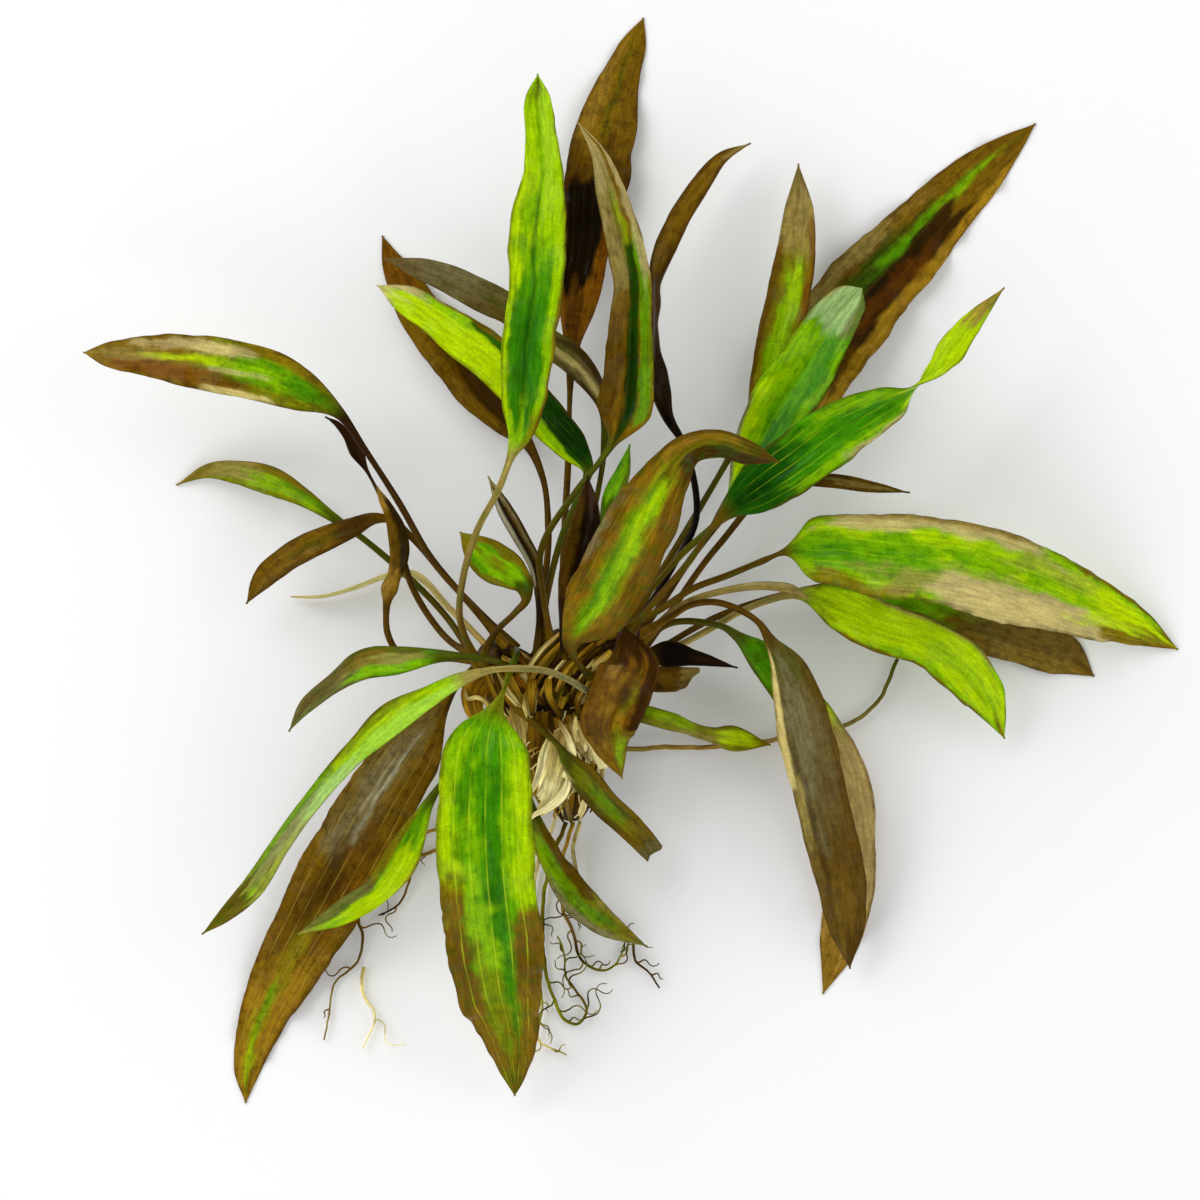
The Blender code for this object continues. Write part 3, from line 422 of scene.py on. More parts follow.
# Each leaf's looks: the petiole's colour at the crown and at the blade, the blade's ground colour, how
# far its margins ripple in millimetres, and its patches. A patch is a colour, the shares of the blade's
# length from its base that it lies between, the shares of the half width that it lies between, from -1 at
# the left margin to 1 at the right one for someone looking from base to tip, and its strength. What else
# it may hold, paint() says.
# Some patches below are not the leaves' own colour but painted shadows, painted shade, painted highlights and
# painted glints; a comment above each names it.
FINISH = {
    "leaf_tall_green": ("umber", "khaki", "bright", 0.7, [
        ("lime", 0.42, 0.95, -1, 1, 0.3), ("lime", 0.05, 0.75, -1, -0.5, 0.5),
        ("deep", 0.05, 0.5, -0.75, 0.62, 0.95), ("leaf", 0.38, 0.6, -0.6, 0.5, 0.6),
        ("forest", 0.1, 0.36, -0.35, 0.3, 0.4), ("forest", 0.1, 0.7, -0.16, -0.04, 0.6, 0.4),
        ("leaf", 0.66, 0.95, -0.3, 0, 0.4), ("bright", 0, 0.1, -1, 0.4, 0.8),
        ("brown", 0.05, 0.5, 0.86, 1, 0.9, 0.6), ("brown", 0, 0.08, 0.4, 1, 0.7),
        ("olive", 0.5, 0.9, 0.92, 1, 0.6, 0.6), ("umber", 0.965, 1, -0.5, 0.4, 0.8)]),
    "leaf_top_folded": ("umber", "moss", "brown", 0.5, [
        ("khaki", 0.42, 1, -1, 0, 0.9), ("tan", 0.7, 1, -1, 0.3, 0.7),
        ("olive", 0.5, 0.78, -0.2, 0.35, 0.7), ("lime", 0.56, 0.72, 0.05, 0.35, 0.5),
        ("forest", 0, 0.6, -0.1, 0.4, 0.95, 0.5), ("night", 0, 0.35, -0.05, 0.3, 0.6),
        ("leaf", 0.1, 0.6, 0.4, 0.9, 0.8, 0.6), ("umber", 0, 0.42, -1, -0.3, 0.75),
        ("tan", 0.5, 1, 0.6, 1, 0.8), ("olive", 0.1, 0.5, 0.85, 1, 0.6)]),
    "leaf_top_twisted": ("black", "black", "umber", 0.4, [
        ("black", 0, 0.3, -1, 1, 0.9), ("dark", 0.2, 0.5, -1, 1, 0.6),
        ("brown", 0.5, 0.97, -0.6, 0.6, 0.75), ("khaki", 0.9, 1, -1, 1, 0.6)]),
    "leaf_top_back": ("umber", "umber", "brown", 0.4, [
        ("umber", 0.5, 1, 0.3, 1, 0.5), ("moss", 0.6, 0.95, -0.2, 0.1, 0.6),
        ("ochre", 0.6, 0.9, -0.9, -0.4, 0.3), ("rust", 0, 0.5, -1, 1, 0.7),
        ("dark", 0, 0.22, -0.6, 0.3, 0.6), ("dark", 0.3, 0.6, -1, 1, 0.65),
        # On leaf_top_back the black patch from 0.18 to 0.5 is a painted shadow beside leaf_tall_green.
        ("black", 0.18, 0.5, -1, 0.45, 0.98, 0.6), ("rust", 0.15, 0.45, 0.7, 1, 0.6)]),
    "leaf_top_taupe": ("umber", "moss", "taupe", 0.9, [
        ("moss", 0.2, 0.55, -1, 1, 0.6), ("umber", 0.3, 0.6, -1, -0.4, 0.5),
        ("straw", 0.03, 0.26, -0.3, 0.2, 0.55), ("dark", 0, 0.3, 0.4, 1, 0.85),
        ("dark", 0, 0.2, -1, -0.6, 0.85), ("stone", 0.66, 0.95, 0.1, 1, 0.45),
        ("umber", 0.88, 1, -1, 1, 0.5)]),
    "leaf_top_bright": ("umber", "moss", "bright", 0.6, [
        # On leaf_top_bright the forest patch with the slanting side and the night patch at the base are a
        # painted shadow cast by a leaf above the blade.
        ("lime", 0.3, 0.97, -1, 0.5, 0.8), ("forest", 0, 0.64, (-0.7, 0.7), 1, 0.96, 0.25),
        ("night", 0, 0.35, -0.3, 1, 0.7), ("lime", 0, 0.3, -1, -0.75, 0.6),
        ("brown", 0.48, 0.8, 0.84, 1, 0.85, 0.5), ("tan", 0.78, 1, 0.5, 1, 0.9),
        ("tan", 0.94, 1, -1, 1, 0.85)]),
    "leaf_back_left": ("umber", "umber", "umber", 0.4, [
        ("brown", 0.55, 1, -1, 1, 0.7), ("rust", 0.75, 1, -1, 1, 0.6), ("dark", 0, 0.42, -0.2, 1, 0.75),
        ("brown", 0.2, 0.7, -1, -0.4, 0.6)]),
    "leaf_inner_small": ("umber", "moss", "leaf", 0.2, [
        ("dark", 0, 0.3, -1, 1, 0.7), ("bright", 0.3, 0.85, -0.5, 0.3, 0.6),
        ("umber", 0.2, 1, 0.6, 1, 0.7)]),
    "leaf_striped_folded": ("dark", "dark", "umber", 0.2, [
        ("silver", 0.1, 0.9, -0.85, -0.5, 0.75, 0.4), ("black", 0, 1, -0.35, 0.1, 0.9, 0.4),
        ("stone", 0.15, 1, 0.3, 0.6, 0.75, 0.4), ("dark", 0, 0.9, 0.7, 1, 0.7, 0.5),
        ("khaki", 0.9, 1, -1, 1, 0.6)]),
    "leaf_centre": ("umber", "umber", "brown", 0.8, [
        ("amber", 0.1, 0.7, -1, 1, 0.6), ("umber", 0, 0.75, 0.5, 1, 0.7),
        ("dark", 0.2, 0.5, -0.9, -0.6, 0.5), ("olive", 0.03, 0.66, -0.42, 0.36, 0.85),
        ("leaf", 0.05, 0.62, -0.26, 0.22, 0.6), ("bright", 0.1, 0.6, -0.18, 0.16, 0.75),
        ("deep", 0.1, 0.4, -0.36, -0.15, 0.5), ("lime", 0.35, 0.55, -0.08, 0.12, 0.5),
        # On leaf_centre the stone strip along the left margin from 0.3 to 0.55 is a painted highlight.
        ("stone", 0.3, 0.55, -1, -0.86, 0.7), ("umber", 0.6, 1, -1, 1, 0.9),
        ("gold", 0.62, 0.8, -0.7, -0.2, 0.45), ("olive", 0.62, 0.84, -0.3, 0.2, 0.4),
        ("dark", 0.66, 0.98, 0.1, 1, 0.75)]),
    "leaf_behind_centre": ("black", "dark", "dark", 0.3, [
        ("umber", 0.2, 0.9, -1, -0.3, 0.55), ("black", 0, 0.8, -0.2, 1, 0.85)]),
    "leaf_inner_left": ("dark", "umber", "leaf", 0.3, [
        ("bright", 0.15, 0.8, -0.5, 0.4, 0.7), ("brown", 0, 1, -1, -0.65, 0.8),
        ("brown", 0.05, 0.9, 0.55, 1, 0.85), ("amber", 0.4, 0.62, -0.3, 0.3, 0.55),
        ("brown", 0.78, 1, -1, 1, 0.8), ("dark", 0, 0.22, -1, 1, 0.8)]),
    "leaf_right_upright": ("umber", "moss", "brown", 0.5, [
        ("olive", 0, 0.7, -0.7, 0.8, 0.6), ("leaf", 0, 0.3, -0.5, 0.7, 0.7),
        ("bright", 0.08, 0.62, -0.3, 0.5, 0.85), ("lime", 0.4, 0.6, 0, 0.4, 0.4),
        ("khaki", 0.68, 0.93, -1, 1, 0.85), ("taupe", 0.88, 1, -1, 1, 0.6),
        ("umber", 0.1, 0.7, -1, -0.65, 0.7), ("rust", 0.2, 0.75, 0.72, 1, 0.6)]),
    "leaf_right_back": ("umber", "umber", "umber", 0.6, [
        ("khaki", 0.3, 0.72, -1, -0.55, 0.6), ("brown", 0.58, 1, -1, 1, 0.7),
        ("moss", 0.05, 0.62, -0.6, 0.3, 0.7), ("forest", 0.25, 0.7, -0.5, 0.1, 0.6),
        ("leaf", 0.5, 0.9, -0.3, 0.04, 0.65), ("bright", 0.7, 0.85, -0.2, 0, 0.5),
        # On leaf_right_back the crisp dark patch from 0.36 to 0.74 and the black one within it are a painted
        # shadow.
        ("dark", 0.36, 0.74, -0.05, 0.66, 0.92, 0.4), ("black", 0.5, 0.66, 0.05, 0.45, 0.5),
        ("rust", 0.42, 0.68, 0.3, 0.6, 0.4), ("dark", 0.05, 0.4, -0.1, 0.5, 0.6),
        ("ochre", 0.12, 0.3, 0.4, 0.6, 0.4), ("gold", 0.15, 0.98, 0.7, 1, 0.65, 0.6),
        ("umber", 0.95, 1, -1, 1, 0.6)]),
    "leaf_right_round": ("umber", "moss", "leaf", 0.5, [
        ("bright", 0.12, 0.8, -1, -0.1, 0.8), ("lime", 0.1, 0.5, -0.95, -0.5, 0.6),
        ("forest", 0.02, 0.48, 0, 0.4, 0.75), ("deep", 0.3, 0.78, 0.15, 0.7, 0.6),
        ("leaf", 0.4, 0.8, -0.2, 0.3, 0.5), ("bright", 0.4, 0.75, 0.7, 0.95, 0.5),
        ("mint", 0.8, 1, -0.95, 0.6, 0.85, 0.5), ("stone", 0.08, 0.4, -1, -0.84, 0.85, 0.5),
        ("taupe", 0.8, 1, 0.5, 1, 0.7, 0.6), ("tan", 0.85, 1, -1, -0.82, 0.6, 0.5)]),
    "leaf_right_front": ("umber", "umber", "leaf", 0.5, [
        ("deep", 0.05, 0.55, -0.85, 0.5, 0.75), ("forest", 0, 0.26, -1, 1, 0.92),
        ("night", 0, 0.14, -0.5, 0.5, 0.6), ("bright", 0.35, 0.62, -0.9, -0.4, 0.6),
        ("bright", 0.2, 0.55, 0.55, 0.85, 0.7), ("tan", 0.36, 0.58, 0.82, 1, 0.8, 0.6),
        ("lime", 0.62, 0.9, -1, 1, 0.85), ("bright", 0.66, 0.85, -0.3, 0.3, 0.4),
        ("ochre", 0.88, 1, -1, 1, 0.85), ("umber", 0.97, 1, -1, 1, 0.7)]),
    "leaf_right_sliver": ("umber", "umber", "umber", 0.2, [
        ("dark", 0, 0.5, -1, 0, 0.6), ("khaki", 0.4, 0.9, -0.5, 0.4, 0.5)]),
    "leaf_far_right": ("umber", "umber", "bright", 0.8, [
        ("lime", 0.05, 0.9, -0.7, -0.1, 0.5), ("leaf", 0, 0.36, -0.5, 0.5, 0.75),
        ("deep", 0.02, 0.2, -0.2, 0.3, 0.5), ("leaf", 0.4, 0.8, -0.45, -0.1, 0.5),
        ("tan", 0.08, 0.6, -1, -0.66, 0.9, 0.6), ("ochre", 0.1, 0.5, -1, -0.88, 0.6),
        ("brown", 0.04, 0.26, 0.62, 1, 0.8), ("khaki", 0.5, 0.72, -0.7, -0.3, 0.4),
        ("khaki", 0.16, 0.42, 0.25, 0.8, 0.7), ("tan", 0.34, 0.8, 0.15, 1, 0.97, 0.7),
        ("straw", 0.4, 0.72, 0.35, 0.9, 0.5), ("khaki", 0.4, 0.66, 0.02, 0.2, 0.5),
        ("lime", 0.72, 0.97, -0.6, 0.6, 0.92), ("rust", 0.68, 1, -1, -0.85, 0.8, 0.5),
        ("brown", 0.78, 1, 0.42, 1, 0.92, 0.5), ("brown", 0.86, 0.95, -0.1, 0.5, 0.4),
        ("rust", 0.965, 1, -1, 1, 0.8)]),
    "leaf_right_lower": ("khaki", "khaki", "bright", 1.0, [
        ("lime", 0.05, 0.9, -0.85, 0.7, 0.7), ("leaf", 0.45, 0.95, -0.3, 0.3, 0.35),
        ("rust", 0.1, 0.9, 0.88, 1, 0.85, 0.5), ("khaki", 0.15, 0.75, -1, -0.84, 0.8, 0.5),
        ("brown", 0.4, 0.65, -1, -0.9, 0.7, 0.5), ("rust", 0.95, 1, -1, 1, 0.8),
        ("olive", 0, 0.1, -1, 1, 0.5)]),
    "leaf_right_low": ("umber", "umber", "brown", 0.5, [
        ("leaf", 0.02, 0.5, -1, 0.45, 0.9), ("bright", 0.3, 0.52, -0.9, -0.1, 0.5),
        ("umber", 0.1, 0.5, 0.5, 1, 0.8), ("umber", 0.45, 0.7, -1, 0.3, 0.4),
        ("taupe", 0.55, 1, -1, 0.4, 0.5), ("khaki", 0.55, 0.95, 0.2, 1, 0.35),
        ("umber", 0.94, 1, -1, 1, 0.6)]),
    "leaf_right_strip": ("umber", "khaki", "khaki", 0.2, [
        ("tan", 0.2, 0.8, -1, 0, 0.6)]),
    "leaf_hanging_right": ("umber", "umber", "taupe", 0.7, [
        ("moss", 0, 0.15, -1, 1, 0.6), ("stone", 0.1, 0.5, -0.2, 0.5, 0.5),
        ("straw", 0.04, 0.42, 0.72, 1, 0.95, 0.35), ("khaki", 0.42, 0.76, 0.6, 1, 0.9, 0.5),
        ("umber", 0.4, 1, -1, 0.1, 0.5), ("umber", 0.6, 1, -1, 1, 0.75),
        ("dark", 0.3, 0.9, 0.4, 0.62, 0.4, 0.5), ("brown", 0.72, 0.95, -0.5, 0.5, 0.35),
        ("dark", 0.9, 1, -1, 0.4, 0.5), ("umber", 0.06, 0.7, -1, -0.7, 0.7)]),
    "leaf_hanging_back": ("umber", "moss", "ochre", 0.5, [
        ("leaf", 0, 0.3, -1, 1, 0.95), ("deep", 0, 0.14, -1, 1, 0.5), ("lime", 0.2, 0.34, -1, -0.6, 0.6),
        ("tan", 0.36, 0.8, -1, -0.2, 0.6), ("brown", 0.86, 1, -1, 1, 0.8), ("umber", 0, 0.2, 0.8, 1, 0.6)]),
    "leaf_dark_spear": ("black", "black", "black", 0.2, [
        ("dark", 0.4, 0.95, -0.5, 0.5, 0.7)]),
    "leaf_torn": ("black", "dark", "umber", 0.3, [
        ("brown", 0.3, 0.9, -0.6, 0.5, 0.5), ("khaki", 0.75, 1, -1, 0.2, 0.6),
        ("taupe", 0.7, 1, 0.2, 1, 0.6), ("dark", 0, 0.4, -1, 1, 0.7)]),
    "leaf_short_hanging": ("umber", "dark", "brown", 0.5, [
        ("rust", 0, 0.6, -1, 1, 0.6), ("gold", 0.25, 0.75, 0, 0.45, 0.5),
        ("amber", 0.4, 0.8, 0.4, 0.9, 0.5), ("umber", 0.15, 0.6, -0.35, 0, 0.7),
        ("olive", 0.28, 0.52, -0.5, -0.25, 0.6), ("dark", 0, 0.18, -1, 1, 0.9),
        ("dark", 0.2, 0.5, 0.1, 0.3, 0.5), ("umber", 0.1, 0.5, 0.6, 1, 0.6),
        ("dark", 0.05, 0.62, -1, -0.6, 0.9, 0.6), ("dark", 0.3, 0.42, -0.4, 0.05, 0.6, 0.5),
        ("gold", 0.48, 0.6, -0.5, -0.1, 0.6, 0.5), ("dark", 0.58, 0.72, 0.2, 0.8, 0.55, 0.5),
        ("ochre", 0.2, 0.3, 0.3, 0.7, 0.5, 0.5), ("gold", 0.7, 0.8, 0.1, 0.5, 0.5, 0.5),
        ("umber", 0.55, 0.8, 0.1, 0.5, 0.5), ("olive", 0.62, 0.96, -1, -0.1, 0.7),
        ("bright", 0.74, 0.92, -0.7, -0.1, 0.7), ("brown", 0.92, 1, -1, 1, 0.7)]),
    "leaf_twisted_low": ("umber", "moss", "olive", 0.4, [
        ("bright", 0, 0.4, -1, 0.2, 0.6), ("khaki", 0.3, 0.65, 0.2, 1, 0.6),
        ("lime", 0.6, 0.92, -0.8, 0.6, 0.7), ("brown", 0.9, 1, -1, 1, 0.8),
        ("umber", 0.5, 0.9, -1, -0.8, 0.6)]),
    "leaf_lower_middle": ("umber", "moss", "moss", 0.4, [
        ("olive", 0.1, 0.8, -0.4, 0.5, 0.7), ("leaf", 0.25, 0.6, -0.3, 0.2, 0.5),
        ("brown", 0, 1, -1, -0.6, 0.7), ("straw", 0, 0.18, 0.75, 1, 0.8),
        ("umber", 0.25, 0.95, 0.6, 1, 0.7), ("brown", 0.7, 0.92, -1, 1, 0.5),
        ("taupe", 0.92, 1, -1, 1, 0.8)]),
    "leaf_lower_twisted": ("moss", "moss", "olive", 0.6, [
        ("umber", 0, 0.5, -1, -0.3, 0.92), ("leaf", 0.1, 0.7, -0.2, 0.6, 0.6),
        ("bright", 0.05, 0.4, 0.2, 0.8, 0.5), ("deep", 0.6, 0.82, -0.5, 0.1, 0.5),
        ("stone", 0.3, 0.9, 0.6, 1, 0.8), ("brown", 0.8, 0.95, -0.8, 0.2, 0.6),
        ("taupe", 0.9, 1, -1, 1, 0.7), ("khaki", 0.5, 0.8, -1, -0.7, 0.5)]),
    "leaf_front_long": ("black", "olive", "leaf", 0.6, [
        ("bright", 0.05, 0.55, 0.3, 1, 0.85), ("lime", 0.15, 0.5, 0.65, 1, 0.6),
        ("bright", 0.05, 0.5, -1, -0.4, 0.85), ("lime", 0.08, 0.45, -1, -0.6, 0.5),
        ("deep", 0.08, 0.28, 0.3, 0.65, 0.8), ("deep", 0.1, 0.6, -0.35, 0.1, 0.75),
        ("forest", 0.14, 0.22, -0.25, 0.05, 0.45), ("forest", 0.34, 0.46, -0.3, 0, 0.5),
        ("bright", 0.28, 0.42, 0.1, 0.4, 0.5), ("bright", 0.44, 0.86, -0.1, 0.42, 0.85),
        ("brown", 0.42, 0.92, 0.46, 1, 0.97, 0.7), ("umber", 0.46, 0.7, 0.42, 0.9, 0.6),
        ("brown", 0.46, 0.95, -1, -0.42, 0.97, 0.7), ("umber", 0.5, 0.72, -0.9, -0.38, 0.6),
        ("brown", 0.62, 0.98, -0.6, 0.6, 0.5), ("olive", 0.7, 0.98, -0.5, 0.5, 0.6),
        ("deep", 0.6, 0.92, -0.3, -0.05, 0.7), ("brown", 0.82, 1, -1, 1, 0.7),
        ("umber", 0.94, 1, -1, 1, 0.7), ("leaf", 0.8, 0.93, -0.1, 0.15, 0.5)]),
    "leaf_long_brown": ("umber", "umber", "brown", 0.6, [
        ("umber", 0, 0.35, -1, -0.3, 0.5), ("taupe", 0, 0.42, -0.2, 0.95, 0.6),
        # On leaf_long_brown the stone patch and the two silver streaks near the base are a painted highlight,
        # the silvery sheen of light on the wet blade.
        ("stone", 0.08, 0.38, 0.1, 0.6, 0.5), ("silver", 0.08, 0.38, 0.05, 0.16, 0.6, 0.3),
        ("silver", 0.14, 0.3, 0.26, 0.34, 0.35, 0.3), ("rust", 0.35, 0.62, -0.8, 0, 0.5),
        # The dark patch from 0.36 to 0.58 on the right half is painted shade.
        ("umber", 0.3, 0.65, -0.5, 0.4, 0.5), ("dark", 0.36, 0.58, 0, 0.5, 0.5),
        ("umber", 0.4, 0.7, 0.3, 0.9, 0.6), ("gold", 0.62, 1, -0.9, 0.9, 0.45),
        ("olive", 0.6, 0.98, -0.2, 0.3, 0.5), ("leaf", 0.72, 0.95, -0.1, 0.16, 0.6, 0.5),
        ("lime", 0.86, 0.97, -0.3, 0.4, 0.4), ("umber", 0.4, 1, -1, -0.85, 0.6),
        ("umber", 0.96, 1, -1, 1, 0.6)]),
    "leaf_arching_pale": ("stone", "khaki", "bright", 0.4, [
        ("pale", 0, 0.62, -1, 0.1, 0.85), ("olive", 0.1, 0.5, 0.35, 1, 0.7),
        ("lime", 0.05, 0.45, 0.1, 0.5, 0.5), ("umber", 0.15, 0.5, 0.85, 1, 0.7, 0.5),
        ("mint", 0.4, 0.68, -1, 0.4, 0.6), ("khaki", 0.55, 0.86, -1, 1, 0.6),
        ("stone", 0.5, 0.8, -0.4, 0.6, 0.5), ("leaf", 0.42, 0.76, 0.45, 1, 0.6, 0.6),
        ("umber", 0.8, 1, -1, 1, 0.9)]),
    "leaf_lower_bright": ("umber", "moss", "bright", 0.5, [
        ("deep", 0, 0.3, -0.4, 0.6, 0.6), ("lime", 0.25, 0.75, -1, 0.3, 0.7),
        ("leaf", 0.4, 0.7, 0.2, 0.7, 0.4), ("brown", 0.05, 0.6, 0.5, 1, 0.85, 0.6),
        ("taupe", 0.5, 1, (0.35, -0.25), 1, 0.85, 0.6), ("khaki", 0.9, 1, -1, 1, 0.6),
        ("ochre", 0.1, 0.5, -1, -0.82, 0.7, 0.6)]),
    "leaf_far_left": ("umber", "dark", "olive", 0.5, [
        ("leaf", 0, 0.44, -0.5, 0.6, 0.8), ("deep", 0.06, 0.3, -0.3, 0.4, 0.6),
        ("bright", 0.2, 0.52, -0.3, 0.3, 0.7), ("moss", 0, 0.14, -1, 1, 0.6),
        ("brown", 0.54, 1, -1, 1, 0.9), ("rust", 0.4, 0.85, -0.9, -0.2, 0.75),
        ("dark", 0.38, 0.55, -0.7, -0.3, 0.45), ("lime", 0.48, 0.78, 0, 0.26, 0.7, 0.5),
        ("brown", 0.1, 0.42, 0.62, 1, 0.7), ("tan", 0.4, 0.74, 0.4, 0.85, 0.75),
        # On leaf_far_left the two straw patches are painted glints of light on the wet film.
        ("straw", 0.42, 0.55, 0.45, 0.8, 0.6, 0.5), ("tan", 0.3, 0.52, -0.2, -0.05, 0.6, 0.3),
        ("straw", 0.26, 0.5, -1, -0.76, 0.8, 0.5), ("khaki", 0.76, 0.95, -0.2, 0.5, 0.5)]),
    "leaf_small_dark": ("umber", "umber", "dark", 0.2, [
        ("black", 0, 0.5, -1, 0, 0.6)]),
    "leaf_hanging_left": ("umber", "umber", "brown", 0.3, [
        ("ochre", 0, 0.3, -1, 0.3, 0.6), ("black", 0.3, 0.95, 0, 1, 0.9, 0.6),
        ("umber", 0.3, 0.8, -1, 0, 0.7), ("ochre", 0.84, 1, -1, 1, 0.5)]),
    "leaf_left_olive": ("umber", "moss", "olive", 0.3, [
        ("bright", 0.05, 0.55, -0.7, 0.4, 0.7), ("deep", 0, 0.3, 0, 0.7, 0.5),
        ("brown", 0.1, 0.8, 0.6, 1, 0.8), ("khaki", 0.5, 1, -0.5, 1, 0.7), ("brown", 0.8, 1, -1, 1, 0.6)]),
    "leaf_left_brown": ("umber", "umber", "umber", 0.3, [
        ("brown", 0.3, 1, -0.6, 0.8, 0.7), ("moss", 0.2, 0.6, -0.3, 0.3, 0.5),
        ("dark", 0, 0.25, -1, 1, 0.6)]),
    "leaf_left_thin": ("ochre", "straw", "straw", 0.1, [
        ("leaf", 0.1, 0.8, -0.6, 0.3, 0.4)]),
    "leaf_middle_left": ("umber", "moss", "leaf", 0.5, [
        ("bright", 0.05, 0.5, -0.9, -0.3, 0.6), ("khaki", 0.04, 1, -0.2, 0.7, 0.8, 0.6),
        ("umber", 0.06, 0.62, 0.5, 1, 0.8), ("brown", 0.3, 0.7, 0, 0.8, 0.6), ("taupe", 0.5, 1, -1, 1, 0.9),
        ("umber", 0.6, 0.95, -0.4, 0.5, 0.5), ("umber", 0.3, 0.6, -1, -0.85, 0.7)]),
}

# Strips of old leaf sheath on the crown: colours from the upper end to the lower, how far the sides wrap
# down, how far the end frays in millimetres, and rows (x, y, z, width) or (x, y, z, width, roll).
SHEATHS = {
    "sheath_broad": (("amber", "straw", "cream"), 0.5, 1.5,
        [(-8.5, -30.5, 23, 5.5), (-9.6, -35.5, 23.4, 8.6), (-10.6, -41, 22, 9.6), (-12, -46, 20, 8),
         (-14.6, -50.5, 17, 4)]),
    "sheath_low": (("straw", "cream", "straw"), 0.5, 1.5,
        [(-9.5, -42, 22, 5), (-10.8, -46.5, 21.2, 6.5), (-12.2, -50, 19, 5.5), (-15, -53.5, 16, 2.5)]),
    "sheath_strand_left": (("straw", "cream", "straw"), 0.4, 0.6,
        [(-12.5, -34, 25, 0.9), (-14, -38, 25, 2.2), (-14.8, -42, 24.4, 2.2), (-16.2, -46, 22.6, 1.6),
         (-18.5, -50, 20, 0.6)]),
    "sheath_strand_low": (("cream", "cream", "straw"), 0.4, 0.6,
        [(-7.5, -44, 23.6, 1), (-9, -48.5, 22.6, 2.4), (-12.5, -51.8, 20.6, 2), (-16.5, -54, 17.5, 1.2),
         (-19.5, -57, 14, 0.6)]),
    "sheath_strand_right": (("gold", "cream", "cream"), 0.4, 0.6,
        [(-10.5, -30, 25.4, 0.9), (-8, -34.5, 25.2, 1.8), (-7, -39.5, 24.2, 2.2), (-9, -44.5, 23.4, 1.2)]),
    "sheath_right": (("amber", "straw", "cream"), 0.4, 3.0,
        [(-6.5, -28.5, 23.6, 6), (-5, -32, 23.6, 9), (-3.6, -36, 21.6, 10.5), (-2, -39.5, 18.8, 10),
         (-0.6, -42.5, 16, 8.5)]),
    "sheath_fin_upper": (("straw", "straw"), 0.3, 2.0,
        [(-6, -35.5, 22.6, 2.6), (-6.2, -32, 24, 2.0), (-6.2, -29.6, 25.2, 0.7)]),
    "sheath_fin_lower": (("cream", "cream"), 0.3, 2.0,
        [(-3.2, -38, 20.6, 2.8), (-3.8, -35, 22, 2.6), (-4.3, -32.3, 23.4, 0.8)]),
    "sheath_nub": (("umber", "amber", "gold"), 0.7, 1.0,
        [(-27.5, -17.5, 29.5, 4), (-30, -20, 30.2, 6.5), (-31.5, -24, 29.8, 6.8), (-31, -28, 28, 5.5),
         (-29, -30.5, 26.5, 3)]),
    # The rim's straw middle is partly the curled edge's own pale colour and partly a painted highlight along
    # it.
    "sheath_nub_rim": (("amber", "straw", "gold"), 0.8, 0.5,
        [(-33.6, -22, 29.2, 0.8), (-33, -24.6, 30.2, 1.2), (-30.6, -24.4, 30.8, 1.3),
         (-28.4, -25.8, 30.2, 1.1), (-28, -28, 29.2, 0.7)]),
    "sheath_brown_left": (("umber", "gold", "straw"), 0.7, 1.5,
        [(-24, -14, 30.6, 4), (-22, -19.5, 28.4, 6), (-21, -25, 26.2, 7), (-20, -31, 23, 6),
         (-19, -37, 19.5, 4)]),
    "sheath_brown_middle": (("amber", "gold", "straw"), 0.6, 2.0,
        [(-19, -17, 28.6, 5), (-18.5, -21, 28.2, 6.5), (-18, -25, 27.6, 5), (-17.3, -29, 27, 3)]),
    "sheath_olive": (("brown", "olive", "gold"), 0.6, 1.0,
        [(-9.5, -16, 27.8, 4), (-9.6, -20, 27, 5.5), (-9.8, -24, 25.2, 4.5), (-10.5, -27, 24, 2.5)]),
    "sheath_straw": (("gold", "straw", "cream"), 0.6, 1.5,
        [(-1.6, -12, 29.4, 3), (-2.2, -15.5, 29.4, 3.4), (-2.6, -19.5, 28.2, 2)]),
    "sheath_dark_right": (("dark", "umber", "amber"), 0.7, 1.5,
        [(4, -13, 29.6, 5), (1.5, -18, 28.2, 6.5), (-1, -23, 26, 7), (-2.5, -28, 23.6, 5.5)]),
    "sheath_umber_low": (("amber", "umber", "gold"), 0.7, 2.5,
        [(-15, -28, 24.6, 6), (-15.5, -34, 22.6, 7.5), (-15.8, -40, 19.6, 7), (-15.5, -46, 16.5, 5.5),
         (-14.5, -51, 13, 3)]),
}

# The bundle of petiole feet across the middle of the crown: how many, the first one's rows, the step from
# each to the next in millimetres, and their colours in turn.
FEET_COUNT = 15
FEET_ROWS = [(-20.5, -21.5, 27.2, 0.9), (-18, -17, 29.2, 1.5), (-14, -12, 30.6, 1.6), (-9.5, -8, 31.6, 1.1)]
FEET_STEP = np.array([1.25, -0.3, -0.06, 0.0])
FEET_SWAY = 0.9
FEET_LIFT = 0.6
FEET_COLOURS = [("gold", "straw", "amber"), ("dark", "umber", "black"), ("ochre", "gold", "amber"),
                ("umber", "gold", "rust"), ("black", "dark", "umber")]

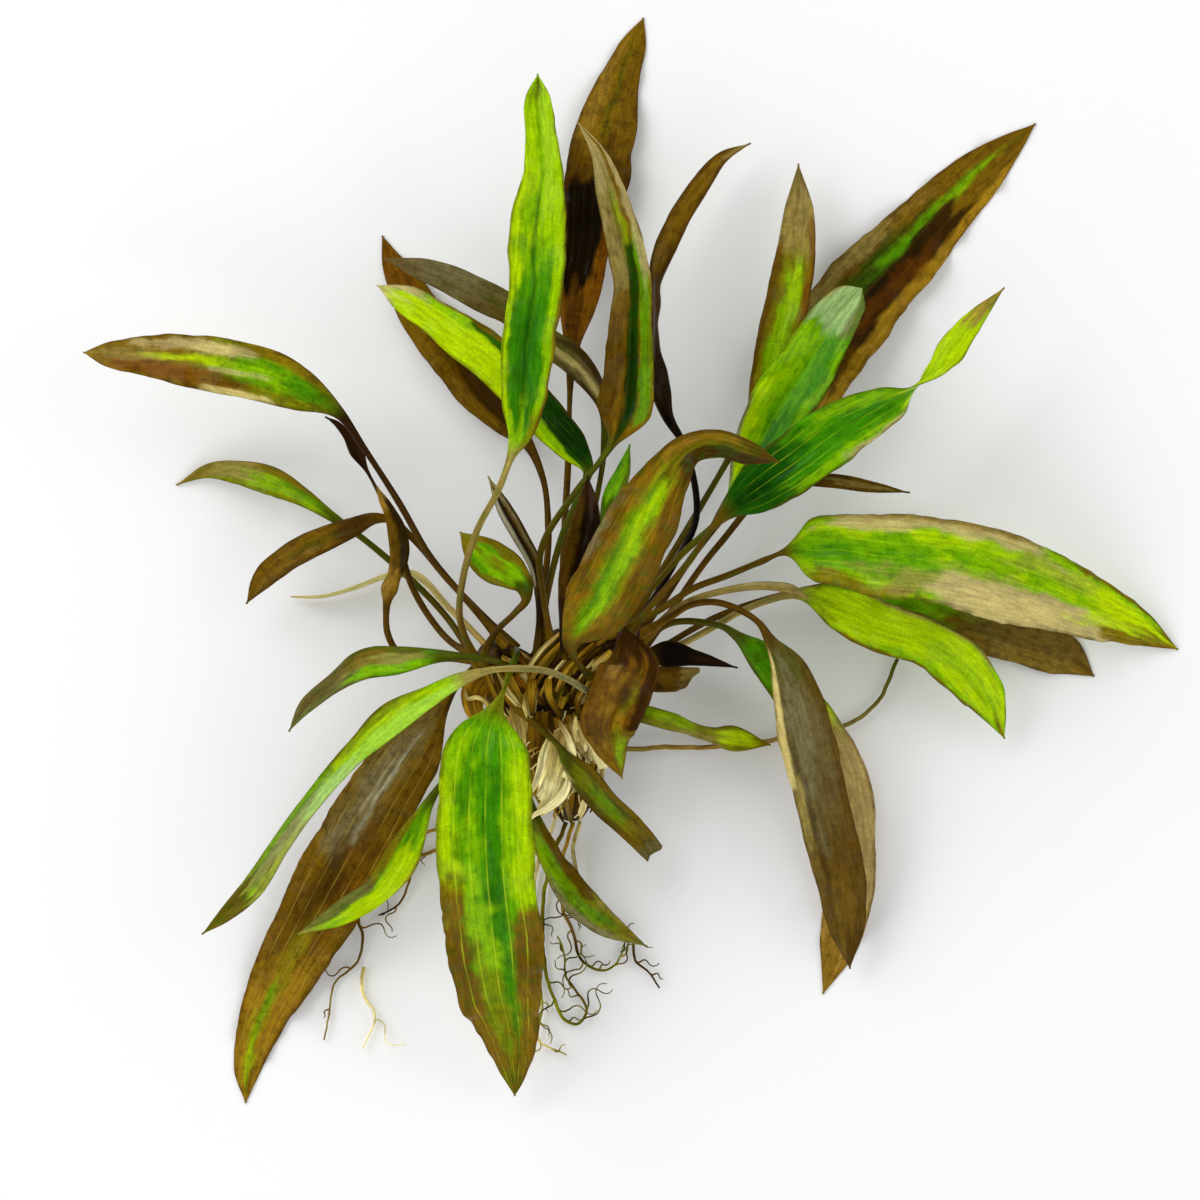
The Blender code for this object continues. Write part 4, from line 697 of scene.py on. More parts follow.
# The strips of fibre that clothe each length of stem: how many, and their colours from the upper end to
# the lower, in turn. The widths are the narrowest and the widest.
STEM_STRIPS = {
    "left_shoot": (22, [("dark", "umber", "dark"), ("amber", "gold", "umber"), ("dark", "brown", "black"),
                        ("gold", "straw", "amber"), ("rust", "amber", "dark")]),
    "middle_shoot": (18, [("amber", "gold", "rust"), ("black", "dark", "black"), ("gold", "straw", "amber"),
                          ("dark", "amber", "rust")]),
    "right_shoot": (22, [("black", "dark", "umber"), ("amber", "gold", "umber"), ("dark", "umber", "dark"),
                         ("gold", "straw", "amber"), ("rust", "amber", "dark")]),
    "rhizome": (24, [("amber", "gold", "umber"), ("dark", "umber", "black"), ("gold", "straw", "umber"),
                     ("straw", "cream", "straw"), ("amber", "dark", "umber"), ("gold", "cream", "straw")]),
}
STRIP_WIDTHS = (1.4, 4.6)

# Fibres that hang over the rhizome towards the lower left: how many, the box that they start in, and
# their lengths and thicknesses.
FIBRE_COUNT = 56
FIBRE_BOX = ((-15.0, -2.0), (-48.0, -24.0))
FIBRE_LENGTHS = (3.0, 14.0)
FIBRE_DIAMETERS = (0.25, 0.6)
# The range of their headings, in degrees from +X, and how far each sags, as a share of its length.
FIBRE_HEADINGS = (190, 300)
FIBRE_SAG = 0.4
# The crown's top, where they start, falls away below its middle and to either side of it by this share.
TOP_MIDDLE = (-9.0, -34.0)
TOP_HEIGHT = 23.5
TOP_FALL = 0.3
FIBRE_COLOURS = [("straw", "cream"), ("gold", "straw"), ("cream", "straw"), ("umber", "gold")]

# The stubs' and the runner's colours, and each root's colours and how many rootlets it carries.
STUB_COLOURS = ("amber", "gold", "brown", "dark")
RUNNER_COLOURS = ("khaki", "ochre", "khaki", "moss")
ROOT_FINISH = {
    "root_centre_long": (("umber", "olive", "dark", "olive", "umber", "olive"), 15),
    "root_centre_short": (("gold", "ochre", "dark", "olive"), 10),
    "root_centre_far": (("straw", "umber", "dark"), 6),
    "root_cream": (("cream", "straw", "olive", "straw"), 9),
    "root_left_long": (("straw", "ochre", "umber", "khaki"), 5),
    "root_left_fork": (("straw", "cream"), 1),
    "root_left_curl": (("straw", "ochre", "dark"), 5),
}
# A rootlet's thickness and its range of lengths.
ROOTLET_DIAMETER = 0.5
ROOTLET_LENGTHS = (3.5, 15.0)


def linear(hex_colour):
    """An sRGB hex colour in linear light."""
    channels = np.array([int(hex_colour[at : at + 2], 16) for at in (1, 3, 5)]) / 255
    return np.where(channels <= 0.04045, channels / 12.92, ((channels + 0.055) / 1.055) ** 2.4)


def colour_run(colours, along):
    """Named colours spread evenly from start to end and blended in linear light, at each share along."""
    steps = np.array([linear(PALETTE[colour]) for colour in colours])
    places = np.linspace(0.0, 1.0, len(colours))
    return np.stack([np.interp(along, places, steps[:, channel]) for channel in range(3)], axis=-1)


def smoothstep(share):
    """Goes from 0 to 1 with no slope at either end, as 3t^2 - 2t^3."""
    share = np.clip(share, 0.0, 1.0)
    return share * share * (3 - 2 * share)


def chances(number, factors=CHANCE_FACTORS):
    """Values from 0 to 1 that look like chance and are the same each run: the fraction of a large sine of
    the number times each factor."""
    return [(math.sin(number * factor) * CHANCE_SCALE) % 1.0 for factor in factors]


def between(limits, share):
    """The value at a share of the way from the first limit to the second."""
    return limits[0] + share * (limits[1] - limits[0])


def value_noise(u, v, seed):
    """Smooth noise from 0 to 1: a hashed value at each corner of the unit lattice, blended by smoothstep.
    The seed, and any whole number added to u or v, only picks another part of it."""
    column, row = np.floor(u), np.floor(v)
    a, b = smoothstep(u - column), smoothstep(v - row)

    def corner(right, up):
        wave = np.sin((column + right) * 127.1 + (row + up) * 311.7 + seed * 74.7) * CHANCE_SCALE
        return wave - np.floor(wave)

    low = corner(0, 0) * (1 - a) + corner(1, 0) * a
    high = corner(0, 1) * (1 - a) + corner(1, 1) * a
    return low * (1 - b) + high * b


def rough_noise(u, v, seed):
    """Three octaves of value noise, from 0 to 1, each half as strong and twice as fine as the last."""
    octaves = [value_noise(u * 2**n, v * 2**n, seed + 13 * n) / 2**n for n in range(3)]
    return sum(octaves) / 1.75


def with_roll(rows):
    """The rows (x, y, z, width) or (x, y, z, width, roll) as a table. A roll that isn't given is 0."""
    return np.array([tuple(row) + (0.0,) * (5 - len(row)) for row in rows], float)


def smooth_rows(rows, step):
    """The rows resampled every step along a cubic curve that passes through each. Its slope at a row is
    that of the chord between the row's neighbours, weighted by how near each is."""
    steps = np.linalg.norm(np.diff(rows[:, :3], axis=0), axis=1)
    knots = np.concatenate([[0.0], np.cumsum(steps)])
    slope = np.gradient(rows, knots, axis=0)
    at = np.linspace(0.0, knots[-1], max(4, round(knots[-1] / step) + 1))
    span = np.clip(np.searchsorted(knots, at, side="right") - 1, 0, len(knots) - 2)
    length = (knots[span + 1] - knots[span])[:, None]
    t = (at - knots[span])[:, None] / length
    path = (
        (2 * t**3 - 3 * t**2 + 1) * rows[span]
        + (t**3 - 2 * t**2 + t) * length * slope[span]
        + (3 * t**2 - 2 * t**3) * rows[span + 1]
        + (t**3 - t**2) * length * slope[span + 1]
    )
    return at, path, knots


def cross_frame(path, rolls_deg):
    """Unit vectors to the right of and above a path, seen along it, turned about it by the roll."""
    along = np.gradient(path[:, :3], axis=0)
    along /= np.linalg.norm(along, axis=1, keepdims=True)
    right = np.cross(along, [0.0, 0.0, 1.0])
    right /= np.linalg.norm(right, axis=1, keepdims=True)
    up = np.cross(right, along)
    roll = np.radians(rolls_deg)[:, None]
    return right * np.cos(roll) - up * np.sin(roll), up * np.cos(roll) + right * np.sin(roll)


def section(columns):
    """The points round a flat section: their places from -1 to 1, over the top and back underneath, and 1
    for those on top or -1 for those underneath."""
    u = np.linspace(-1.0, 1.0, columns)
    above = np.concatenate([np.ones(columns), -np.ones(columns - 2)])
    return np.concatenate([u, u[-2:0:-1]])[None, :], above[None, :]


def stand(path, right, up, across, raised, ahead=None):
    """Rings of points: across to the right of the path, raised above it, and moved ahead along it."""
    rings = path[:, None, :3] + across[..., None] * right[:, None] + raised[..., None] * up[:, None]
    return rings if ahead is None else rings + ahead[..., None] * np.cross(up, right)[:, None]


def skin_mesh(name, skins):
    """One mesh of closed skins. Each skin is rings of points in the layout frame, which run clockwise
    seen along the path, the tint and the fields at its points, and the lowest height that a point may
    have. Quads join the rings and a flat cap closes each end. Tints and fields are kept as attributes."""
    points, faces, colours = [], [], []
    values = {field: [] for field in skins[0][2]}
    used = 0
    for rings, tint, fields, floors in skins:
        stations, count = rings.shape[:2]
        placed = rings.reshape(-1, 3) - SPREAD_CENTRE
        placed[:, 2] = np.maximum(placed[:, 2], np.broadcast_to(floors, rings.shape[:2]).reshape(-1))
        first = used + np.arange((stations - 1) * count).reshape(stations - 1, count)
        following = np.roll(first, -1, axis=1)
        sides = np.stack([first, following, following + count, first + count], axis=-1).reshape(-1, 4)
        last = used + (stations - 1) * count
        points.append(placed * MM)
        faces += sides.tolist() + [list(range(used, used + count))[::-1], list(range(last, last + count))]
        colours.append(np.concatenate([tint.reshape(-1, 3), np.ones((stations * count, 1))], axis=1))
        for field, at_points in fields.items():
            values[field].append(np.broadcast_to(at_points, rings.shape[:2]).reshape(-1))
        used += stations * count
    mesh = bpy.data.meshes.new(name)
    mesh.from_pydata(np.concatenate(points).tolist(), [], faces)
    mesh.shade_smooth()
    tints = mesh.attributes.new("tint", "FLOAT_COLOR", "POINT")
    tints.data.foreach_set("color", np.concatenate(colours).reshape(-1))
    for field, parts in values.items():
        mesh.attributes.new(field, "FLOAT", "POINT").data.foreach_set("value", np.concatenate(parts))
    return mesh


def add_piece(name, mesh, node, material):
    """Puts a finished mesh in the scene, in place of a node where one is given."""
    piece = bpy.data.objects.new(name, mesh)
    mesh.materials.append(material)
    bpy.context.scene.collection.objects.link(piece)
    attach(piece, "root")
    if node:
        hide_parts(node)


def add_skins(name, skins, node, material):
    """Puts closed skins in the scene as one piece."""
    add_piece(name, skin_mesh(name, skins), node, material)


def patch_share(value, start, end, soft, whole):
    """1 from start to end and 0 outside, with soft edges, but with no edge at an end of the whole range."""
    after = np.where(start > whole[0], smoothstep((value - start) / soft + 0.5), 1.0)
    before = np.where(end < whole[1], smoothstep((end - value) / soft + 0.5), 1.0)
    return after * before


def paint(ground, patches, along, across, length, seed):
    """The ground colour with each patch laid over it in turn. Noise pushes the patches' edges about, so
    that they end raggedly, and runs longer along the leaf than across it, as the veins do. A patch may
    end with a number under 1, for edges that much straighter and crisper, and a side may be a pair, for
    an edge that slants between the two. Last the margins dry out in places."""
    tint = np.empty(along.shape + (3,))
    tint[:] = linear(PALETTE[ground])
    place = along * length
    for number, (colour, start, end, left, right, strength, *edge) in enumerate(patches):
        blur = edge[0] if edge else 1.0
        push = rough_noise(place / END_SWING_LENGTH, across * 3.2, seed + 3.3 * number) - 0.5
        sway = rough_noise(place / SIDE_SWING_LENGTH + 40, across * 1.6, seed + 5.9 * number) - 0.5
        left, right = (np.interp(along, (start, end), np.broadcast_to(side, 2)) for side in (left, right))
        inside = patch_share(along + push * END_SWING * blur, start, end, END_SOFTNESS * blur, (0, 1))
        sides = patch_share(across + sway * SIDE_SWING * blur, left, right, SIDE_SOFTNESS * blur, (-1, 1))
        tint += (linear(PALETTE[colour]) - tint) * (inside * sides * strength)[..., None]
    patchy = smoothstep(3 * rough_noise(place / DRY_LENGTH, across * 2, seed + 50) - 0.8)
    dried = smoothstep((np.abs(across) - DRY_EDGE) / 0.1) * patchy
    tint += (linear(PALETTE["umber"]) - tint) * (0.6 * dried)[..., None]
    return tint


def leaf_skin(name, number):
    """A leaf with its petiole. Across the path at each station, a point at share v of the half width w
    stands v w to the right and |v| w tan(fold) up, plus a ripple that grows with v^2 towards the margins.
    The blade is a thin lens with a groove along the midrib above and a keel below. The petiole is round,
    and widens at its foot. Its tint starts as the foot's colour, turns to the neck's, and then to
    the blade's painted patches."""
    fold_deg, petiole, blade = LEAVES[name]
    foot_colour, neck_colour, ground, ripple, patches = FINISH[name]
    blade_rows = with_roll(blade)
    stalk_rows = np.array([row + (PETIOLE_DIAMETER, blade_rows[0, 4]) for row in petiole])
    rows = np.vstack([stalk_rows, blade_rows])
    start = rows[1, :3] - rows[0, :3]
    rows[0, :3] -= start / np.linalg.norm(start) * FOOT_DEPTH
    at, path, knots = smooth_rows(rows, LEAF_STEP)
    blade_start, whole = knots[len(stalk_rows)], knots[-1]
    length = whole - blade_start
    travel = at[:, None]
    along = (travel - blade_start) / length
    order = np.arange(len(rows)) - len(stalk_rows)
    flat = smoothstep(np.interp(at, knots, np.clip(order / THICK_BASE_ROWS, 0.0, 1.0)))[:, None]

    # The half width, and the points across it: evenly round the petiole, and nearly evenly across the
    # blade.
    foot = smoothstep(1 - travel / FOOT_LENGTH) * (1 - flat)
    half = np.maximum(path[:, 3], TIP_WIDTH)[:, None] / 2 + foot * (FOOT_WIDTH - PETIOLE_DIAMETER) / 2
    u, above = section(int(np.clip(round(path[:, 3].max() / LEAF_STEP), *LEAF_COLUMNS)) | 1)
    v = np.sin(u * math.pi / 2) * (1 - 0.8 * flat) + u * 0.8 * flat
    margin = np.sign(v) * 7.0 + number * 3.7
    wobble = WOBBLE_SHARE * flat * (rough_noise(travel / WOBBLE_LENGTH, margin, 2.0) - 0.5) * np.abs(v)
    across = v * half * (1 + wobble)

    # The thickness above and below the middle of the section.
    round_top = np.sqrt(np.maximum(1 - v**2, 0.0))
    lens = np.sqrt(np.maximum(1 - np.abs(v) ** 7, 0.0)) * EDGE_THICKNESS / 2
    rib = np.exp(-((across / RIB_WIDTH) ** 2)) * (1 - 0.75 * np.clip(along, 0.0, 1.0))
    veins = sum(np.exp(-(((np.abs(v) - line) * half / VEIN_WIDTH) ** 2)) for line in SIDE_VEINS)
    top = lens - RIB_GROOVE * rib - VEIN_GROOVE * veins
    bottom = lens + (RIB_THICKNESS - EDGE_THICKNESS) * rib
    thickness = (1 - flat) * PETIOLE_DIAMETER / 2 * round_top + flat * np.where(above > 0, top, bottom)

    # The fold, the ripples, which die out at both ends of the blade, and the torn end.
    ends = smoothstep(along * 5) * smoothstep((1 - along) * 6)
    wave = np.sin(travel * 2 * math.pi / RIPPLE_LENGTHS[0] + margin)
    wave = wave + 0.6 * np.sin(travel * 2 * math.pi / RIPPLE_LENGTHS[1] + 2 * margin)
    rippled = ripple * v**2 * np.clip(half / FULL_RIPPLE_WIDTH, 0.3, 1.2) * wave
    pucker = PUCKER_HEIGHT * (rough_noise(travel / PUCKER_LENGTH, across / PUCKER_WIDTH + 30, number) - 0.5)
    raised = np.abs(across) * math.tan(math.radians(fold_deg)) * flat + ends * (rippled + pucker)
    torn = smoothstep(along * 2.5 - 1.5) * (value_noise(v * 1.6 + 9, 0.0, number) - 0.8)
    torn = TORN_ENDS.get(name, 0.0) * torn
    rings = stand(path, *cross_frame(path, path[:, 4]), across, raised + above * thickness, torn)

    blade_tint = paint(ground, patches, np.broadcast_to(along, v.shape), v, length, number * 1.7)
    rise = smoothstep(travel / max(blade_start, 1.0))[..., None]
    stalk_tint = linear(PALETTE[foot_colour]) * (1 - rise) + linear(PALETTE[neck_colour]) * rise
    stalk_tint = stalk_tint + (linear(PALETTE["brown"]) - stalk_tint) * (0.7 * foot[..., None])
    angle = np.arcsin(np.clip(v, -1, 1)) * 1.3
    weathered = rough_noise(travel / WEATHER_LENGTH, angle + above, number + 70.0)
    stalk_tint = stalk_tint * (0.45 + 1.1 * weathered)[..., None]
    in_blade = smoothstep((travel - blade_start + 2) / BLEND_LENGTH)[..., None]
    tint = stalk_tint * (1 - in_blade) + blade_tint * in_blade
    fields = {
        "across": v,
        "reach": across * MM,
        "travel": (travel - blade_start) * MM,
        "vein": flat * STRONG_VEINS.get(name, FAINT_VEINS) * (1 + above) / 2,
        "mottle": 1 - 0.8 * smoothstep((tint.mean(axis=-1) - 0.16) / 0.25),
    }
    floors = np.where(above > 0, EDGE_THICKNESS / 2, 0.0)
    return rings, tint, fields, floors


def tube_skin(rows, diameters, colours, step=0.8, count=10, wiggle=0.0, seed=0.0, rough=0.0):
    """Round rings along a smooth path. The path sways to the side and up by smooth noise that is nothing
    at its start, the radius swells by the share rough, and the tint runs from the first colour to the
    last."""
    at, path, _ = smooth_rows(np.column_stack([np.array(rows, float), diameters]), step)
    right, up = cross_frame(path, np.zeros(len(path)))
    ease = smoothstep(at / 5.0)[:, None] * wiggle
    sway = (rough_noise(at / 6.0, 1.5, seed) - 0.5)[:, None]
    lift = (rough_noise(at / 7.0, 9.5, seed + 4) - 0.5)[:, None]
    centre = path[:, :3] + ease * (2 * sway * right + lift * up)
    turn = np.arange(count) * 2 * math.pi / count
    swell = 1 + rough * (rough_noise(at[:, None] / 1.6, turn[None, :] / 2, seed + 8) - 0.5)
    radius = np.maximum(path[:, 3], THINNEST_TUBE)[:, None] / 2 * swell
    rings = stand(centre, right, up, radius * np.sin(turn), radius * np.cos(turn))
    rings[..., 2] += np.maximum(radius.max(axis=1) - centre[:, 2], 0.0)[:, None]
    patchy = rough_noise(at / 4.0, 3.5, seed)[:, None]
    tint = np.broadcast_to((colour_run(colours, at / at[-1]) * (0.7 + 0.6 * patchy))[:, None], rings.shape)
    return rings, tint, {"travel": at[:, None] * MM, "reach": radius * np.sin(turn) * MM}, 0.0


def sheath_skin(colours, curl, ragged, rows, seed):
    """A strip of old leaf sheath: a thin shell across the path whose height falls off as curl v^2, with
    fibre ridges along it and an end whose fibres run out to different lengths."""
    table = with_roll(rows)
    at, path, _ = smooth_rows(table, SHEATH_STEP)
    travel = at[:, None]
    along = travel / at[-1]
    half = np.maximum(path[:, 3], TIP_WIDTH)[:, None] / 2
    v, above = section(int(np.clip(round(table[:, 3].max() / SHEATH_GAP), *SHEATH_COLUMNS)) | 1)
    ridge = value_noise(v * half / RIDGE_WIDTH, travel / RIDGE_LENGTH, seed) - 0.5
    rim = np.sqrt(np.maximum(1 - np.abs(v) ** 5, 0.0))
    raised = -curl * v**2 * half + RIDGE_HEIGHT * ridge * rim + above * SHEATH_THICKNESS / 2 * rim
    fray = ragged * smoothstep(along * 2 - 1) * (value_noise(v * 4.0 + 20, 0.0, seed + 2) - 0.6)
    across = v * half * (1 + 0.2 * (rough_noise(travel / 4.0, np.sign(v) * 5.0, seed + 6) - 0.5))
    rings = stand(path, *cross_frame(path, path[:, 4]), across, raised, fray)
    streak = value_noise(v * half / FIBRE_STREAK_WIDTH, travel / FIBRE_STREAK_LENGTH, seed + 9)
    tint = colour_run(colours, along[:, 0])[:, None] * (0.42 + 1.1 * streak)[..., None]
    return rings, tint, {"travel": travel * MM, "reach": across * MM}, 0.0


def fill(tree, node, inputs):
    """Sets each input of a node to a value, or links another node's output to it."""
    for name, value in inputs.items():
        if isinstance(value, bpy.types.NodeSocket):
            tree.links.new(value, node.inputs[name])
        else:
            node.inputs[name].default_value = value


def add_node(tree, kind, inputs=None, **settings):
    """Adds a node with its settings. Each input is a value, or another node's output to link."""
    node = tree.nodes.new(kind)
    for name, value in settings.items():
        setattr(node, name, value)
    fill(tree, node, inputs or {})
    return node


# The colour mix node's sockets for its two colours and its result.
MIX_A = 6
MIX_B = 7
MIX_RESULT = 2


def new_material(name):
    """An empty material with a Principled shader on its output."""
    material = bpy.data.materials.new(name)
    material.use_nodes = True
    tree = material.node_tree
    return material, tree, tree.nodes["Principled BSDF"]


def surface_vector(tree, stretch):
    """A point's place on its own surface: metres across, and metres along divided by the stretch."""
    reach = add_node(tree, "ShaderNodeAttribute", attribute_name="reach").outputs["Fac"]
    travel = add_node(tree, "ShaderNodeAttribute", attribute_name="travel").outputs["Fac"]
    shortened = add_node(tree, "ShaderNodeMath", {0: travel, 1: 1 / stretch}, operation="MULTIPLY").outputs[0]
    return add_node(tree, "ShaderNodeCombineXYZ", {"X": reach, "Y": shortened}).outputs["Vector"]


def wet_leaf(name, vein_colour, blotch_colour, blotch_share, roughness):
    """A living leaf just out of the water. Its waxy skin gives the eye a soft, dim sheen and the film of
    water on it a few sharp glints. Its cells show as blotches BLOTCH across and a grain of GRAIN, its
    fibres as streaks along the blade, and its parallel veins as thin pale lines in shallow grooves. Its
    own colours come from the mesh, and so does how far it is mottled, which is least where it is pale."""
    material, tree, shader = new_material(name)
    place = add_node(tree, "ShaderNodeTexCoord").outputs["Object"]
    tint = add_node(tree, "ShaderNodeAttribute", attribute_name="tint").outputs["Color"]
    across, veined, mottled = (
        add_node(tree, "ShaderNodeAttribute", attribute_name=field).outputs["Fac"]
        for field in ("across", "vein", "mottle")
    )
    surface = surface_vector(tree, STREAK_STRETCH)
    patterns = [
        {"Vector": place, "Scale": 1 / (BLOTCH * MM), "Detail": 5.0, "Roughness": 0.62, "Distortion": 0.4},
        {"Vector": place, "Scale": 1 / (GRAIN * MM), "Detail": 2.0},
        {"Vector": surface, "Scale": 1 / (STREAK * MM), "Detail": 4.0, "Roughness": 0.6},
        {"Vector": place, "Scale": 1 / (BLUSH * MM), "Detail": 2.0},
    ]
    blotches, grain, streaks, blush = (
        add_node(tree, "ShaderNodeTexNoise", pattern).outputs["Fac"] for pattern in patterns
    )

    # The blotches darken the tint, then the streaks and the grain scale it.
    limits = {"Value": blotches, "From Min": 0.47, "From Max": 0.66, "To Min": 0.0, "To Max": blotch_share}
    stained = add_node(tree, "ShaderNodeMapRange", limits).outputs["Result"]
    stained = add_node(tree, "ShaderNodeMath", {0: stained, 1: mottled}, operation="MULTIPLY").outputs[0]
    layers = {0: stained, MIX_A: tint, MIX_B: (*linear(blotch_colour), 1.0)}
    colour = add_node(tree, "ShaderNodeMix", layers, data_type="RGBA").outputs[MIX_RESULT]
    for pattern, darkest, lightest in ((streaks, 0.68, 1.22), (grain, 0.86, 1.12)):
        limits = {"Value": pattern, "From Min": 0.3, "From Max": 0.7, "To Min": darkest, "To Max": lightest}
        scale = {0: colour, "Scale": add_node(tree, "ShaderNodeMapRange", limits).outputs["Result"]}
        colour = add_node(tree, "ShaderNodeVectorMath", scale, operation="SCALE").outputs["Vector"]

    # The midrib and the side veins: the nearest of their lines, each a few hundredths of the half width
    # across.
    width = add_node(tree, "ShaderNodeMath", {0: across}, operation="ABSOLUTE").outputs[0]
    nearest = width
    for line in SIDE_VEINS:
        offset = add_node(tree, "ShaderNodeMath", {0: width, 1: line}, operation="SUBTRACT").outputs[0]
        offset = add_node(tree, "ShaderNodeMath", {0: offset}, operation="ABSOLUTE").outputs[0]
        nearest = add_node(tree, "ShaderNodeMath", {0: nearest, 1: offset}, operation="MINIMUM").outputs[0]
    limits = {"Value": nearest, "From Min": 0.006, "From Max": 0.026, "To Min": 1.0, "To Max": 0.0}
    veins = add_node(tree, "ShaderNodeMapRange", limits).outputs["Result"]
    veins = add_node(tree, "ShaderNodeMath", {0: veins, 1: veined}, operation="MULTIPLY").outputs[0]
    limits = {"Value": blush, "From Min": 0.40, "From Max": 0.6, "To Min": 0.2, "To Max": 1.0}
    shown = add_node(tree, "ShaderNodeMapRange", limits).outputs["Result"]
    shown = add_node(tree, "ShaderNodeMath", {0: veins, 1: shown}, operation="MULTIPLY").outputs[0]
    layers = {0: shown, MIX_A: colour, MIX_B: (*linear(vein_colour), 1.0)}
    colour = add_node(tree, "ShaderNodeMix", layers, data_type="RGBA").outputs[MIX_RESULT]

    # The relief: sunken veins, raised blotches and lower streaks.
    relief = add_node(tree, "ShaderNodeMath", {0: veins, 1: -0.8}, operation="MULTIPLY").outputs[0]
    for pattern, height in ((blotches, 1.0), (streaks, 0.6)):
        added = {0: pattern, 1: height, 2: relief}
        relief = add_node(tree, "ShaderNodeMath", added, operation="MULTIPLY_ADD").outputs[0]
    bump = add_node(tree, "ShaderNodeBump", {"Height": relief, "Strength": 0.55, "Distance": 0.25 * MM})
    limits = {"Value": streaks, "To Min": roughness - 0.06, "To Max": roughness + 0.1}
    gloss = add_node(tree, "ShaderNodeMapRange", limits).outputs["Result"]
    waxy = {"Roughness": gloss, "Specular IOR Level": 0.02}
    film = {"Coat Weight": 0.14, "Coat Roughness": 0.06, "Coat IOR": WATER_IOR}
    fill(tree, shader, {"Base Color": colour, "Normal": bump.outputs["Normal"]} | waxy | film)
    return material


def dry_fibre(name, stain_share, painted_gap_shade, roughness):
    """Old leaf sheath and root skin. The eye sees bundles of papery fibre FIBRE apart, as ridges with painted
    light on them and painted shade in the gaps between them, over the fibres' own tone, brown stains STAIN
    across where it rots, and almost no shine."""
    material, tree, shader = new_material(name)
    place = add_node(tree, "ShaderNodeTexCoord").outputs["Object"]
    tint = add_node(tree, "ShaderNodeAttribute", attribute_name="tint").outputs["Color"]
    pattern = {"Vector": surface_vector(tree, FIBRE_STRETCH), "Scale": 1 / (FIBRE * MM), "Detail": 3.0}
    fibres = add_node(tree, "ShaderNodeTexNoise", pattern).outputs["Fac"]
    pattern = {"Vector": place, "Scale": 1 / (STAIN * MM), "Detail": 4.0}
    stains = add_node(tree, "ShaderNodeTexNoise", pattern).outputs["Fac"]
    # The fibre pattern lightens the ridges and darkens the gaps: painted light and shade on the relief, over
    # the fibres' own tone.
    limits = {"Value": fibres, "From Min": 0.34, "From Max": 0.62, "To Min": painted_gap_shade, "To Max": 1.35}
    scale = {0: tint, "Scale": add_node(tree, "ShaderNodeMapRange", limits).outputs["Result"]}
    colour = add_node(tree, "ShaderNodeVectorMath", scale, operation="SCALE").outputs["Vector"]
    limits = {"Value": stains, "From Min": 0.45, "From Max": 0.66, "To Min": 0.0, "To Max": stain_share}
    stained = add_node(tree, "ShaderNodeMapRange", limits).outputs["Result"]
    layers = {0: stained, MIX_A: colour, MIX_B: (*linear(PALETTE["umber"]), 1.0)}
    colour = add_node(tree, "ShaderNodeMix", layers, data_type="RGBA").outputs[MIX_RESULT]
    bump = add_node(tree, "ShaderNodeBump", {"Height": fibres, "Strength": 0.8, "Distance": 0.25 * MM})
    dull = {"Roughness": roughness, "Specular IOR Level": 0.03}
    fill(tree, shader, {"Base Color": colour, "Normal": bump.outputs["Normal"]} | dull)
    return material


def rhizome_bark(name):
    """The stem's old wet bark. The eye sees near-black brown with brown scales SCALE across standing off
    it, a grain of GRAIN, and a dull wet shine."""
    material, tree, shader = new_material(name)
    place = add_node(tree, "ShaderNodeTexCoord").outputs["Object"]
    pattern = {"Vector": place, "Scale": 1 / (SCALE * MM), "Detail": 4.0}
    scales = add_node(tree, "ShaderNodeTexNoise", pattern).outputs["Fac"]
    pattern = {"Vector": place, "Scale": 1 / (GRAIN * MM), "Detail": 3.0}
    grain = add_node(tree, "ShaderNodeTexNoise", pattern).outputs["Fac"]
    limits = {"Value": scales, "From Min": 0.46, "From Max": 0.62, "To Min": 0.0, "To Max": 1.0}
    share = add_node(tree, "ShaderNodeMapRange", limits).outputs["Result"]
    layers = {0: share, MIX_A: (*linear(PALETTE["dark"]), 1.0), MIX_B: (*linear(PALETTE["umber"]), 1.0)}
    colour = add_node(tree, "ShaderNodeMix", layers, data_type="RGBA").outputs[MIX_RESULT]
    limits = {"Value": grain, "From Min": 0.3, "From Max": 0.7, "To Min": 0.6, "To Max": 1.25}
    scale = {0: colour, "Scale": add_node(tree, "ShaderNodeMapRange", limits).outputs["Result"]}
    colour = add_node(tree, "ShaderNodeVectorMath", scale, operation="SCALE").outputs["Vector"]
    raised = {0: grain, 1: 0.5, 2: scales}
    relief = add_node(tree, "ShaderNodeMath", raised, operation="MULTIPLY_ADD").outputs[0]
    bump = add_node(tree, "ShaderNodeBump", {"Height": relief, "Strength": 0.8, "Distance": 0.6 * MM})
    wet = {"Roughness": 0.5, "Specular IOR Level": 0.2}
    fill(tree, shader, {"Base Color": colour, "Normal": bump.outputs["Normal"]} | wet)
    return material


